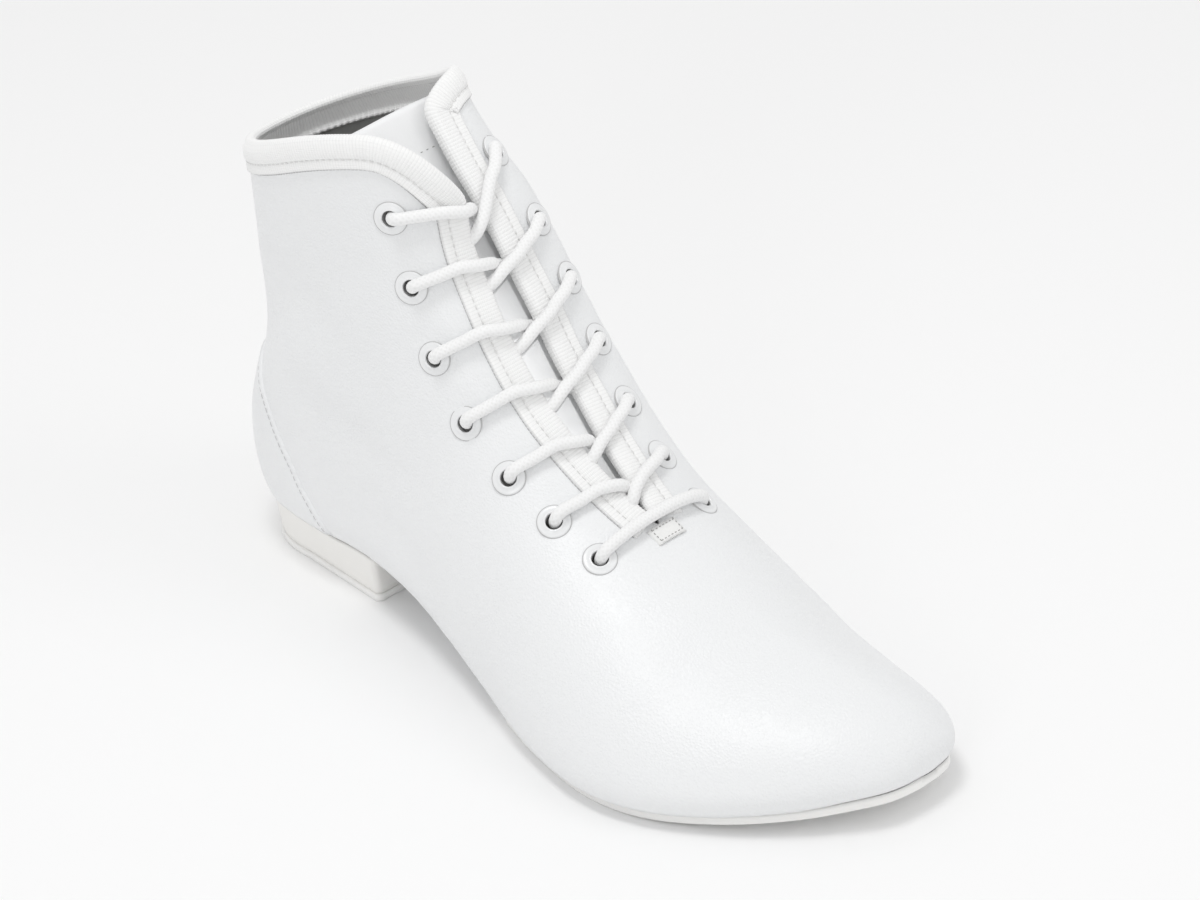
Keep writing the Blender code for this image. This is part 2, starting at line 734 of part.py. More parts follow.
def add_sheet(name, points, thickness, material):
    """An open grid of points thickened towards its inner side."""
    rows, columns = points.shape[:2]
    faces = []
    for row in range(rows - 1):
        for column in range(columns - 1):
            base = row * columns + column
            faces.append([base, base + 1, base + columns + 1, base + columns])
    sheet = add_mesh(name, PARTS, points.reshape(-1, 3), faces, material)
    sheet.data.shade_smooth()
    wall = sheet.modifiers.new("Wall", "SOLIDIFY")
    wall.thickness = thickness
    wall.offset = -1


def add_tongue():
    """Wide sheet behind the throat, set below the last along the normals of its ridge."""
    table = np.array(TONGUE_TABLE)
    rows = np.linspace(table[0, 0], table[-1, 0], TONGUE_STEPS)
    columns = [np.interp(rows, table[:, 0], table[:, k]) * MM for k in range(1, table.shape[1])]
    half, depth, side_depth, rise = columns
    points, normals = closed_patch(rows, half, TONGUE_COLUMNS)
    ridge = normals[:, TONGUE_COLUMNS // 2]
    out = np.linspace(-1, 1, TONGUE_COLUMNS) ** 2
    sunk = depth[:, None] + np.outer(side_depth - depth, out)
    points = points - ridge[:, None] * sunk[:, :, None]
    points[:, :, 2] += rise[:, None]
    add_sheet("tongue", points, TONGUE_THICKNESS, TONGUE_LEATHER)


def add_throat_tab():
    rows = np.linspace(*TAB_ROWS, TAB_STEPS)
    points, normals = closed_patch(rows, [TAB_HALF] * TAB_STEPS, TAB_COLUMNS)
    add_sheet("throat_tab", points + normals * (GAP + TAPE_THICKNESS), TAPE_THICKNESS, TAPE)


def cord_object(name, collection, points):
    """A tube along points, as a welded mesh."""
    curve = bpy.data.curves.new(name, "CURVE")
    curve.dimensions = "3D"
    curve.bevel_depth = LACE_RADIUS
    curve.bevel_resolution = 2
    curve.use_fill_caps = True
    spline = curve.splines.new("POLY")
    spline.points.add(len(points) - 1)
    for target, point in zip(spline.points, points):
        target.co = (*point, 1)
    holder = bpy.data.objects.new(name, curve)
    collection.objects.link(holder)
    graph = bpy.context.evaluated_depsgraph_get()
    mesh = bpy.data.meshes.new_from_object(holder.evaluated_get(graph))
    bpy.data.objects.remove(holder)
    builder = bmesh.new()
    builder.from_mesh(mesh)
    bmesh.ops.remove_doubles(builder, verts=builder.verts, dist=WELD)
    bmesh.ops.recalc_face_normals(builder, faces=builder.faces)
    builder.to_mesh(mesh)
    builder.free()
    mesh.materials.clear()
    mesh.materials.append(LACE_CORD)
    obj = bpy.data.objects.new(name, mesh)
    collection.objects.link(obj)
    obj.parent = BOOT
    return obj


def strand_points(pair, side, end_row, clearance):
    """Run of lace from beside an eyelet, over the tape, to the crossing in the throat."""
    rest = LACE_RADIUS + clearance
    lifted = rest + TAPE_GAP + TAPE_THICKNESS
    start = eyelet_setback(pair, side) - EYELET_FLANGE - LACE_RADIUS - GAP
    points = []
    for t in np.linspace(0, 1, LACE_STEPS):
        distance = start * (1 - t)
        lift = lifted if distance < TAPE_WIDTH + LACE_RADIUS else rest
        row = pair.row + (end_row - pair.row) * LACE_TURN * t
        point, normal = surface_frame(row, side, distance)
        points.append(point + normal * lift)
    return points


def crossing_place(row):
    edges = [surface_frame(row, side, 0) for side in (LATERAL, MEDIAL)]
    point = (edges[0][0] + edges[1][0]) / 2
    normal = edges[0][1] + edges[1][1]
    return point + normal / np.linalg.norm(normal) * LACE_CROSSING_LIFT


def add_lace():
    for number, (above, below) in enumerate(zip(EYELET_PAIRS, EYELET_PAIRS[1:]), 1):
        middle = above.row + (below.row - above.row) * LACE_CROSSING_AT
        centre = crossing_place(middle)
        strands = []
        for side in (LATERAL, MEDIAL):
            run = strand_points(above, side, middle, LACE_LIFT)
            onward = centre - run[-1]
            run += [centre, centre + onward / np.linalg.norm(onward) * LACE_RADIUS]
            strands.append(run)
        name = f"lace_crossing_{number}"
        crossing = cord_object(name, PARTS, strands[0])
        other = as_cutter(cord_object(name + "_over", CUTTERS, strands[1]))
        cut(crossing, other, "UNION")
    last = EYELET_PAIRS[-1]
    run = strand_points(last, LATERAL, last.row, BAR_LIFT)
    run += strand_points(last, MEDIAL, last.row, BAR_LIFT)[::-1]
    cord_object("lace_bar", PARTS, run)


def box_shift():
    """Moves the origin under the middle of the boot's box, from the counter to the toe."""
    low, high = GRID.min(axis=(0, 1)), GRID.max(axis=(0, 1))
    low[0] -= GAP + COUNTER_THICKNESS
    middle = (low + high) / 2
    return -middle[0], -middle[1], 0


clear_scene()
PARTS = make_collection("split_sole_dance_boot")
CUTTERS = make_collection("cutters")
CUTTERS.hide_render = True
BOOT = bpy.data.objects.new("boot_frame", None)
BOOT.location = box_shift()
PARTS.objects.link(BOOT)

LEATHER = make_material("leather", (0.82, 0.83, 0.84), 0.42)
COUNTER_LEATHER = make_material("counter_leather", (0.82, 0.83, 0.84), 0.42)
TONGUE_LEATHER = make_material("tongue_leather", (0.84, 0.85, 0.86), 0.45)
TAPE = make_material("tape", (0.80, 0.80, 0.80), 0.8)
INSOLE_CLOTH = make_material("insole_cloth", (0.45, 0.45, 0.44), 0.9)
SOLE_RUBBER = make_material("sole_rubber", (0.76, 0.75, 0.72), 0.6)
HEEL_RUBBER = make_material("heel_rubber", (0.76, 0.75, 0.72), 0.6)
LIFT_RUBBER = make_material("lift_rubber", (0.80, 0.80, 0.78), 0.6)
EYELET_PAINT = make_material("eyelet_paint", (0.83, 0.84, 0.84), 0.35)
LACE_CORD = make_material("lace_cord", (0.84, 0.84, 0.84), 0.85)

NORMALS = grid_normals()
FORM_NEAR = add_form("near_form", GAP)
add_upper(add_eyelets())
add_forefoot_sole()
add_heel()
add_insole()
add_counter()
add_binding()
add_tongue()
add_throat_tab()
add_lace()
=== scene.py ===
"""Dresses the right boot of a split-sole dance pair in white leather, ribbed tape and lace.

The last is restated from its table of sections, so each piece follows the same surface as the solids.
Frame while modelling: X from the back of the heel to the toe, Y to the medial side, Z up, in metres.
"""

import math
from collections import namedtuple
from functools import lru_cache

import bmesh
import bpy
import numpy as np
from mathutils import Matrix, Vector
from mathutils.bvhtree import BVHTree


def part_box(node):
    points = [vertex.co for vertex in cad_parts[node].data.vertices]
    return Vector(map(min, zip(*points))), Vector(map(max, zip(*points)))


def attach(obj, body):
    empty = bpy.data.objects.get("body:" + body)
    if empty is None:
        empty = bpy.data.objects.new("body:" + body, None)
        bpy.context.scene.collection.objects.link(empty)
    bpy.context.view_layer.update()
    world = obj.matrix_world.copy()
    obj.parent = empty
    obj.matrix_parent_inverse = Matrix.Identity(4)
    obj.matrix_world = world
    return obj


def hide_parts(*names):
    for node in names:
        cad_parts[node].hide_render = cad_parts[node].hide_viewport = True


MM = 0.001
LENGTH = 258 * MM
BALL_WIDTH = 100 * MM
COLLAR_HEIGHT = 150 * MM
TOE_SPRING = 8 * MM
TOE_SPRING_START = 0.715 * LENGTH
WALL = 1.6 * MM
GAP = 0.3 * MM
COUNTER_THICKNESS = 0.7 * MM
TAPE_THICKNESS = 0.7 * MM
TAPE_GAP = 0.3 * MM
TAPE_WIDTH = 8 * MM
LATERAL = -1
MEDIAL = 1

# The last: x in percent of LENGTH, z in percent of COLLAR_HEIGHT, widths in percent of BALL_WIDTH
Section = namedtuple(
    "Section",
    "low_x low_z top_x top_z lateral medial mid belly low_round lateral_round medial_round stagger",
)
SECTIONS = (
    Section(100.0, 8.0, 100.0, 8.0, 0.0, 0.0, 6.0, 0.50, 2.0, 2.0, 2.0, 0),
    Section(99.0, 6.6, 99.4, 12.6, 15.0, 11.0, 6.0, 0.40, 2.5, 2.0, 2.0, 0),
    Section(96.1, 5.4, 96.9, 17.0, 26.5, 18.0, 6.0, 0.30, 3.5, 1.8, 1.8, 0),
    Section(91.9, 4.0, 92.6, 20.0, 37.5, 24.0, 5.0, 0.25, 5.0, 1.7, 1.65, 0),
    Section(85.7, 2.6, 86.4, 22.3, 48.5, 30.5, 3.0, 0.22, 5.5, 1.65, 1.6, 0),
    Section(78.3, 1.8, 79.1, 24.7, 56.5, 37.0, 1.0, 0.20, 6.0, 1.7, 1.62, 0),
    Section(70.5, 1.5, 72.1, 29.3, 58.5, 41.5, 0.0, 0.18, 6.0, 1.85, 1.8, 0),
    Section(61.2, 1.5, 64.7, 34.3, 54.5, 42.0, 0.0, 0.20, 5.5, 2.0, 2.1, 0),
    Section(51.9, 1.8, 58.1, 40.0, 47.5, 39.0, 0.0, 0.25, 4.5, 2.2, 2.6, 0),
    Section(42.6, 4.0, 53.1, 46.0, 41.0, 38.0, 0.0, 0.26, 4.0, 2.4, 3.2, 0),
    Section(33.3, 6.7, 48.8, 52.7, 36.0, 37.0, 0.0, 0.29, 4.0, 2.6, 4.0, 0),
    Section(24.0, 8.5, 45.3, 59.3, 32.5, 35.0, 0.0, 0.33, 5.0, 2.8, 5.2, 0),
    Section(14.0, 8.7, 42.4, 66.7, 31.5, 34.5, 0.0, 0.35, 6.0, 3.0, 5.6, 0),
    Section(4.7, 9.7, 39.7, 74.0, 31.0, 34.5, 0.0, 0.40, 4.0, 3.0, 5.6, 0),
    Section(0.0, 24.7, 37.4, 80.7, 30.5, 34.0, 0.0, 0.42, 2.3, 3.0, 5.2, 0),
    Section(3.0, 45.3, 35.5, 87.3, 28.5, 33.5, 0.0, 0.45, 2.1, 3.0, 4.0, 2),
    Section(3.2, 64.5, 33.5, 93.3, 28.5, 30.5, 0.0, 0.47, 2.1, 3.0, 3.4, 6.5),
    Section(3.3, 78.2, 31.9, 99.8, 28.5, 27.5, 0.0, 0.48, 2.1, 2.9, 3.0, 12.5),
    Section(3.4, 87.4, 30.6, 107.3, 28.5, 25.5, 0.0, 0.48, 2.1, 2.8, 2.8, 18),
)
TABLE = np.array(SECTIONS, float)
STAGGER_FALL = 0.5
COLLAR_ROW = len(SECTIONS) - 1
SIZES = {
    **dict.fromkeys(("low_x", "top_x"), LENGTH),
    **dict.fromkeys(("low_z", "top_z"), COLLAR_HEIGHT),
    **dict.fromkeys(("lateral", "medial", "mid", "stagger"), BALL_WIDTH),
}
THROAT_ROWS = (7.3, 7.5, 8.5, 10.0, 12.0, 14.0, 15.5, 18.0)
THROAT_HALF_GAPS = (0.0, 2.2, 4.2, 6.4, 7.0, 5.6, 4.4, 5.0)
COLLAR_CORNER = 28 * MM
COLLAR_DROP = 17 * MM

EyeletPair = namedtuple("EyeletPair", "row lateral medial")
EYELET_PAIRS = (
    EyeletPair(15.80, 21.0, 15.0),
    EyeletPair(13.95, 20.5, 16.0),
    EyeletPair(12.40, 22.5, 16.5),
    EyeletPair(10.95, 22.5, 16.0),
    EyeletPair(9.55, 21.0, 14.5),
    EyeletPair(8.38, 20.0, 15.5),
    EyeletPair(7.42, 20.0, 19.0),
)
EYELET_HOLE = 3.7 * MM
EYELET_SUNK = 0.35 * MM
EYELET_DENT = 7.5 * MM

LACE_RADIUS = 1.85 * MM
TONGUE_THICKNESS = 1.5 * MM

# The tongue at rows of the last, in mm: half width, depth in the middle and at the sides, and rise
TongueRow = namedtuple("TongueRow", "row half depth side_depth rise")
TONGUE_TABLE = (
    TongueRow(6.50, 18.0, 2.5, 2.5, 0.0),
    TongueRow(7.24, 18.0, 3.2, 3.2, 0.0),
    TongueRow(7.98, 18.0, 6.8, 6.8, 0.0),
    TongueRow(13.0, 18.0, 6.8, 6.8, 0.0),
    TongueRow(14.5, 19.0, 7.7, 6.5, 0.2),
    TongueRow(16.3, 19.5, 10.5, 5.8, 1.2),
    TongueRow(17.6, 23.0, 15.4, 9.5, 1.8),
)

# Lace runs: shares of the way down to the next pair at which a strand from either side leaves its
# own flap, crosses its edge, reaches the other edge and lies under the other flap
LaceRun = namedtuple("LaceRun", "flap edge far under")
LACE_RUNS = {
    LATERAL: LaceRun(0.10, 0.22, 0.46, 0.60),
    MEDIAL: LaceRun(0.23, 0.33, 0.64, 0.76),
}
# Over the throat: share down, share across from the lateral edge, and height in mm
THROAT_PASSES = {
    LATERAL: ((0.28, 0.35, 1.5), (0.35, 0.62, -1.5)),
    MEDIAL: ((0.43, 0.62, 2.6), (0.54, 0.28, 1.2), (0.60, 0.06, -1.4)),
}
# At the top pair the edges are staggered: the medial strand falls more steeply there, and the
# lateral one falls a further share on its way across
TOP_STEEPNESS = {LATERAL: 1.0, MEDIAL: 1.42}
TOP_CROSS = {LATERAL: 0.35, MEDIAL: 0.0}
RIB = 1.05 * MM
RIB_DEPTH = 0.17 * MM
LACE_OFF_CENTRE = 0.55 * MM
TAPE_TOP = TAPE_GAP + TAPE_THICKNESS + 0.4 * MM
TAPE_BELOW = WALL + TAPE_GAP + TAPE_THICKNESS + 0.2 * MM
TONGUE_STEPS = 90
TONGUE_COLUMNS = 41
TONGUE_HEM = 9
TAB_ROWS = (7.02, 7.30)
TAB_HALF = 5.2 * MM

SOLE_EDGE_ANGLE = math.radians(52)
SOLE_REAR = 128 * MM
SOLE_REAR_ROUND = 14 * MM
SOLE_REAR_REACH = 0.35
SOLE_SKIVE = 1.2 * MM
SOLE_FRONT = LENGTH - 0.6 * MM
SOLE_LIP = 0.4 * MM
SOLE_LIP_HEIGHT = 1.1 * MM

HEEL_BACK = 7.5 * MM
HEEL_BREAST = 66.5 * MM
HEEL_ROUND_MIDDLE = 33 * MM
HEEL_MIDDLE_Y = 0.7 * MM
HEEL_HALF_WIDTH = 25.7 * MM
HEEL_BREAST_HALF = 28.2 * MM
HEEL_SPREAD = 2.5 * MM
HEEL_ROUND = 2.8
HEEL_CORNER = 2.2 * MM
HEEL_BACK_POINTS = 61
HEEL_SIDE_END = 0.9
HEEL_LIP = 0.5 * MM
HEEL_BLANK = 18.2 * MM
LIFT_THICKNESS = 2.2 * MM

# Side view of the counter's seam, in mm from the back and the floor
COUNTER_SEAM = ((12, 67), (19, 64), (26, 56), (33, 44), (41, 31), (51, 18.5))
COUNTER_TOP = 67 * MM
COUNTER_LOW = 18.5 * MM
MEDIAL_SEAM_FOOT = (82 * MM, 15 * MM)
MEDIAL_SEAM_REACH = (0.16, 1)
INSOLE_BACK_ROW = 13.4
INSOLE_REACH = (7.5 * MM, 248 * MM)
INSOLE_THICKNESS = 1.8 * MM

# Soft creases in side view: a line from one point to another in mm, its width and its depth
Crease = namedtuple("Crease", "side x0 z0 x1 z1 width depth")
CREASES = (
    Crease(LATERAL, 30, 104, 78, 84, 7.0, 0.55),
    Crease(LATERAL, 24, 84, 84, 66, 6.0, -0.35),
    Crease(LATERAL, 34, 66, 98, 52, 7.0, 0.50),
    Crease(LATERAL, 66, 40, 108, 24, 8.0, 0.40),
    Crease(LATERAL, 172, 14, 184, 33, 4.0, 0.22),
    Crease(LATERAL, 186, 12, 196, 30, 4.5, 0.18),
    Crease(MEDIAL, 28, 100, 76, 82, 7.0, 0.55),
    Crease(MEDIAL, 30, 70, 92, 56, 7.0, 0.50),
    Crease(MEDIAL, 70, 36, 110, 22, 8.0, 0.40),
    Crease(MEDIAL, 176, 14, 186, 32, 4.0, 0.22),
)
CREASE_FADE = 8 * MM

# Camera of the photo in the modelling frame, re-aimed at the one boot
CAMERA_PLACE = Vector((0.9135, -0.6963, 0.7123))
CAMERA_RIGHT = Vector((0.7112, 0.7015, -0.0462))
CAMERA_UP = Vector((-0.3377, 0.3985, 0.8528))
CAMERA_BACK = Vector((0.6166, -0.5909, 0.5203))
CAMERA_FOCAL = 4336.9
FRAME_WIDTH = 1200
FRAME_HEIGHT = 900
BOOT_MIDDLE = (483, 482)


@lru_cache(maxsize=None)
def section_at(row):
    """The last's section at a row, between the table's rows by a smooth curve."""
    row = min(max(row, 0), COLLAR_ROW)
    first = min(int(row), COLLAR_ROW - 1)
    t = row - first
    before = TABLE[max(first - 1, 0)]
    start, end = TABLE[first], TABLE[first + 1]
    after = TABLE[min(first + 2, COLLAR_ROW)]
    slope_start = (end - before) / (2 if first > 0 else 1)
    slope_end = (after - start) / (2 if first + 2 <= COLLAR_ROW else 1)
    t2, t3 = t * t, t * t * t
    mixed = (
        (2 * t3 - 3 * t2 + 1) * start
        + (t3 - 2 * t2 + t) * slope_start
        + (3 * t2 - 2 * t3) * end
        + (t3 - t2) * slope_end
    )
    values = Section(*mixed)._asdict()
    for name, size in SIZES.items():
        values[name] *= size / 100
    return Section(**values)


def side_shape(section, side):
    if side == LATERAL:
        return max(section.lateral, 0), section.lateral_round
    return max(section.medial, 0), section.medial_round


def section_points(section, side, angles):
    """Points on one side of a section: angle 0 is the low point, a half turn the top."""
    angles = np.asarray(angles, float)
    half, top_round = side_shape(section, side)
    low = angles <= math.pi / 2
    power = 2 / np.where(low, section.low_round, top_round)
    sine = np.clip(np.sin(angles), 0, 1) ** power
    cosine = np.clip(np.abs(np.cos(angles)), 0, 1) ** power
    up = np.where(low, section.belly * (1 - cosine), section.belly + (1 - section.belly) * cosine)
    fore = np.clip((angles - math.pi / 2) / (math.pi / 2), 0, 1) ** 2
    shift = -side * section.stagger * fore
    x = section.low_x + (section.top_x - section.low_x) * up + shift
    z = section.low_z + (section.top_z - section.low_z) * up - STAGGER_FALL * shift
    y = section.mid + side * half * sine
    return np.stack([x, y, z], axis=-1)


def top_angle(row, side):
    half, top_round = side_shape(section_at(row), side)
    gap = np.interp(row, THROAT_ROWS, THROAT_HALF_GAPS) * MM
    if gap == 0 or half == 0:
        return math.pi
    return math.pi - math.asin(min((gap / half) ** (top_round / 2), 1))


def running_length(points):
    return np.concatenate([[0], np.cumsum(np.linalg.norm(np.diff(points, axis=0), axis=1))])


def even_angles(row, side, start, end, count):
    """Angles that lie at even distances along one side of a section."""
    u = np.linspace(0, 1, 300)
    dense = start + (end - start) * u * u * (3 - 2 * u)
    run = running_length(section_points(section_at(row), side, dense))
    return np.interp(np.linspace(0, run[-1], count), run, dense)


def surface_point(row, side, distance):
    """A point of the surface by its row and its distance from the throat's edge."""
    section = section_at(row)
    dense = np.linspace(top_angle(row, side), math.pi / 4, 90)
    run = running_length(section_points(section, side, dense))
    return section_points(section, side, [np.interp(distance, run, dense)])[0]


def surface_frame(row, side, distance):
    """A point of the surface with its outward normal."""
    step, reach = 0.1, 1 * MM
    along = surface_point(row + step, side, distance) - surface_point(row - step, side, distance)
    down = surface_point(row, side, distance + reach) - surface_point(row, side, distance - reach)
    normal = np.cross(along, down) * -side
    return surface_point(row, side, distance), normal / np.linalg.norm(normal)


def unit(v):
    return v / np.maximum(np.linalg.norm(v, axis=-1, keepdims=True), 1e-12)


def at_stops(points, run, stops):
    """Points at given distances along a line."""
    return np.stack([np.interp(stops, run, points[:, k]) for k in range(3)], axis=-1)


def resample(points, count):
    run = running_length(points)
    return at_stops(points, run, np.linspace(0, run[-1], count))


def eased(values, times):
    """Rows of values with their corners smoothed and both ends kept."""
    for _ in range(times):
        values[1:-1] = 0.25 * values[:-2] + 0.5 * values[1:-1] + 0.25 * values[2:]
    return values


def smooth_path(points, step):
    """A smooth curve through points, sampled about a step apart."""
    points = np.asarray(points, float)
    padded = np.concatenate([[2 * points[0] - points[1]], points, [2 * points[-1] - points[-2]]])
    out = []
    for k in range(1, len(padded) - 2):
        p0, p1, p2, p3 = padded[k - 1 : k + 3]
        t = np.linspace(0, 1, 24, endpoint=False)[:, None]
        square = (2 * p0 - 5 * p1 + 4 * p2 - p3) * t**2
        cube = (3 * p1 - p0 - 3 * p2 + p3) * t**3
        out.append(0.5 * (2 * p1 + (p2 - p0) * t + square + cube))
    dense = np.concatenate(out + [points[-1:]])
    return resample(dense, max(int(running_length(dense)[-1] / step), 2))


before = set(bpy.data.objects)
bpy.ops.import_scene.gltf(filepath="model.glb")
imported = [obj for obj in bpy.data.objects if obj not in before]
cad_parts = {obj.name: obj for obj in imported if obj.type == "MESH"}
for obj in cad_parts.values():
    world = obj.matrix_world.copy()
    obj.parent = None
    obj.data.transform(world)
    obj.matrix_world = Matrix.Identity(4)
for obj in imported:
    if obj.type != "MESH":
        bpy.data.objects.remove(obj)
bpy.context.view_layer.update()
LIFT_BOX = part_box("heel_lift")
LIFT_MIDDLE_Y = (LIFT_BOX[0].y + LIFT_BOX[1].y) / 2
SHIFT = np.array([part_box("upper")[1].x - LENGTH, LIFT_MIDDLE_Y - HEEL_MIDDLE_Y, 0.0])


def add_object(name, data):
    obj = bpy.data.objects.new(name, data)
    bpy.context.scene.collection.objects.link(obj)
    return obj


def add_mesh(name, vertices, faces, materials, slots=None, uv=None):
    """A piece of the boot from points in the modelling frame. It rides on the one body."""
    mesh = bpy.data.meshes.new(name)
    mesh.from_pydata((np.asarray(vertices, float) + SHIFT).tolist(), [], faces)
    for material in materials:
        mesh.materials.append(material)
    if slots is not None:
        mesh.polygons.foreach_set("material_index", np.asarray(slots, np.int32))
    if uv is not None:
        layer = mesh.uv_layers.new(name="along")
        loops = np.zeros(len(mesh.loops), np.int32)
        mesh.loops.foreach_get("vertex_index", loops)
        layer.data.foreach_set("uv", np.asarray(uv, np.float32)[loops].ravel())
    mesh.polygons.foreach_set("use_smooth", np.full(len(mesh.polygons), True))
    mesh.update()
    obj = add_object(name, mesh)
    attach(obj, "root")
    return obj


def turn_outward(obj):
    builder = bmesh.new()
    builder.from_mesh(obj.data)
    bmesh.ops.recalc_face_normals(builder, faces=builder.faces)
    builder.to_mesh(obj.data)
    builder.free()


def strip_faces(rows, columns, closed=False):
    """Quads of a grid stored row by row. A closed grid joins its last column to the first."""
    faces = []
    for r in range(rows - 1):
        for c in range(columns if closed else columns - 1):
            d = (c + 1) % columns
            faces.append((r * columns + c, r * columns + d, (r + 1) * columns + d, (r + 1) * columns + c))
    return faces


def capped_faces(rows, columns, closed=False):
    """Quads of a grid, with its first and last rows closed by a face each."""
    last = (rows - 1) * columns
    ends = [list(range(columns)), list(range(last, last + columns))[::-1]]
    return strip_faces(rows, columns, closed) + ends


def sheet_faces(rows, columns):
    """Faces of a sheet: its outside, its inside, which is stored after it, and its edge."""
    count = rows * columns
    grid = strip_faces(rows, columns)
    border = (
        list(range(columns))
        + [r * columns + columns - 1 for r in range(1, rows)]
        + [(rows - 1) * columns + c for c in range(columns - 2, -1, -1)]
        + [r * columns for r in range(rows - 2, 0, -1)]
    )
    edge = [[a, b, b + count, a + count] for a, b in zip(border, border[1:] + border[:1])]
    return grid + [[v + count for v in face[::-1]] for face in grid] + edge


def steps_from_edge(columns):
    """How many steps each column of a grid lies from its nearer edge."""
    return np.minimum(np.arange(columns), np.arange(columns)[::-1])


# Materials

PEBBLE_SCALE = 1400
PORE_SCALE = 3000
BRAID_PITCH = 1.5 * MM
BRAID_STRANDS = 6


def new_material(name, colour, roughness):
    material = bpy.data.materials.new(name)
    material.use_nodes = True
    tree = material.node_tree
    shader = tree.nodes["Principled BSDF"]
    shader.inputs["Base Color"].default_value = (*colour, 1)
    shader.inputs["Roughness"].default_value = roughness
    return material, tree, shader


def add_node(tree, kind, **settings):
    node = tree.nodes.new(kind)
    for name, value in settings.items():
        setattr(node, name, value)
    return node


def noise(tree, source, scale, detail=3.0, roughness=0.5):
    node = add_node(tree, "ShaderNodeTexNoise")
    node.inputs["Scale"].default_value = scale
    node.inputs["Detail"].default_value = detail
    node.inputs["Roughness"].default_value = roughness
    tree.links.new(source, node.inputs["Vector"])
    return node.outputs["Fac"]


def remap(tree, value, low, high, start=0.3, stop=0.7):
    node = add_node(tree, "ShaderNodeMapRange")
    node.inputs["From Min"].default_value = start
    node.inputs["From Max"].default_value = stop
    node.inputs["To Min"].default_value = low
    node.inputs["To Max"].default_value = high
    tree.links.new(value, node.inputs["Value"])
    return node.outputs["Result"]


def tint(tree, shader, value, first, second):
    """Base colour that drifts between two tints."""
    node = add_node(tree, "ShaderNodeMix", data_type="RGBA")
    node.inputs["A"].default_value = (*first, 1)
    node.inputs["B"].default_value = (*second, 1)
    tree.links.new(value, node.inputs["Factor"])
    tree.links.new(node.outputs["Result"], shader.inputs["Base Color"])


def bump(tree, shader, height, strength, distance):
    node = add_node(tree, "ShaderNodeBump")
    node.inputs["Strength"].default_value = strength
    node.inputs["Distance"].default_value = distance
    tree.links.new(height, node.inputs["Height"])
    tree.links.new(node.outputs["Normal"], shader.inputs["Normal"])


def math_node(tree, operation, first, second):
    node = add_node(tree, "ShaderNodeMath", operation=operation)
    for socket, value in zip(node.inputs, (first, second)):
        if isinstance(value, (int, float)):
            socket.default_value = value
        else:
            tree.links.new(value, socket)
    return node.outputs["Value"]


def object_place(tree):
    return add_node(tree, "ShaderNodeTexCoord").outputs["Object"]


def leather(name, first, second, roughness, strength):
    """White hide: fine pebbles, finer pores between them, a satin coat and faint drift of tint."""
    material, tree, shader = new_material(name, first, roughness)
    place = object_place(tree)
    cells = add_node(tree, "ShaderNodeTexVoronoi", feature="SMOOTH_F1")
    cells.inputs["Scale"].default_value = PEBBLE_SCALE
    cells.inputs["Smoothness"].default_value = 0.6
    tree.links.new(place, cells.inputs["Vector"])
    pores = noise(tree, place, PORE_SCALE, 2)
    height = math_node(tree, "ADD", cells.outputs["Distance"], math_node(tree, "MULTIPLY", pores, 0.5))
    bump(tree, shader, height, strength, 0.22 * MM)
    tint(tree, shader, noise(tree, place, 14, 3), first, second)
    tree.links.new(
        remap(tree, noise(tree, place, 60, 4), roughness - 0.06, roughness + 0.08),
        shader.inputs["Roughness"],
    )
    shader.inputs["Coat Weight"].default_value = 0.10
    shader.inputs["Coat Roughness"].default_value = 0.25
    return material


def along_piece(tree):
    """Place along and round a piece, as one vector and as its two parts."""
    along = add_node(tree, "ShaderNodeUVMap", uv_map="along").outputs["UV"]
    part = add_node(tree, "ShaderNodeSeparateXYZ")
    tree.links.new(along, part.inputs["Vector"])
    return along, part.outputs["X"], part.outputs["Y"]


def ribbed_tape():
    """Grosgrain: matte yarn with a fine cross weave over the modelled ribs. The tint is painted shade:
    darker in the grooves between the ribs, lighter on their crests.
    """
    material, tree, shader = new_material("ribbed_tape", (0.80, 0.79, 0.78), 0.85)
    along, length, _ = along_piece(tree)
    weave = add_node(tree, "ShaderNodeTexWave", bands_direction="Y", wave_profile="SIN")
    weave.inputs["Scale"].default_value = 420
    weave.inputs["Distortion"].default_value = 0.6
    tree.links.new(along, weave.inputs["Vector"])
    fuzz = noise(tree, object_place(tree), 2400, 3)
    height = math_node(tree, "ADD", weave.outputs["Fac"], fuzz)
    bump(tree, shader, height, 0.45, 0.12 * MM)
    # Painted shade: the tint darkens in each groove between the ribs and lightens on their crests, with a
    # random fuzz mixed in.
    phase = math_node(tree, "MULTIPLY", length, math.pi / RIB)
    groove = math_node(tree, "ABSOLUTE", math_node(tree, "SINE", phase, 0.0), 0.0)
    groove_shade_and_fuzz = math_node(tree, "ADD", groove, math_node(tree, "MULTIPLY", fuzz, 0.35))
    tint(tree, shader, remap(tree, groove_shade_and_fuzz, 0, 1, 0.1, 0.75), (0.84, 0.84, 0.835), (0.92, 0.92, 0.915))
    shader.inputs["Sheen Weight"].default_value = 0.25
    return material


def braided_cord():
    """Round lace: two sets of strands that cross on the diagonal, with painted shade in the hollows between
    strands.
    """
    material, tree, shader = new_material("braided_cord", (0.84, 0.84, 0.84), 0.8)
    _, length, turn = along_piece(tree)
    pitch = math_node(tree, "MULTIPLY", length, 2 * math.pi / BRAID_PITCH)
    sets = []
    for way in (1, -1):
        wound = math_node(tree, "MULTIPLY", turn, way * 2 * math.pi * BRAID_STRANDS)
        sets.append(math_node(tree, "SINE", math_node(tree, "ADD", pitch, wound), 0.0))
    weave = math_node(tree, "MAXIMUM", *sets)
    bump(tree, shader, weave, 0.4, 0.14 * MM)
    # Painted shade: the tint follows the weave's height, darker in the hollows between strands and lighter
    # on their crests.
    tint(tree, shader, remap(tree, weave, 0, 1, -0.6, 0.6), (0.86, 0.86, 0.855), (0.90, 0.90, 0.90))
    shader.inputs["Sheen Weight"].default_value = 0.2
    return material


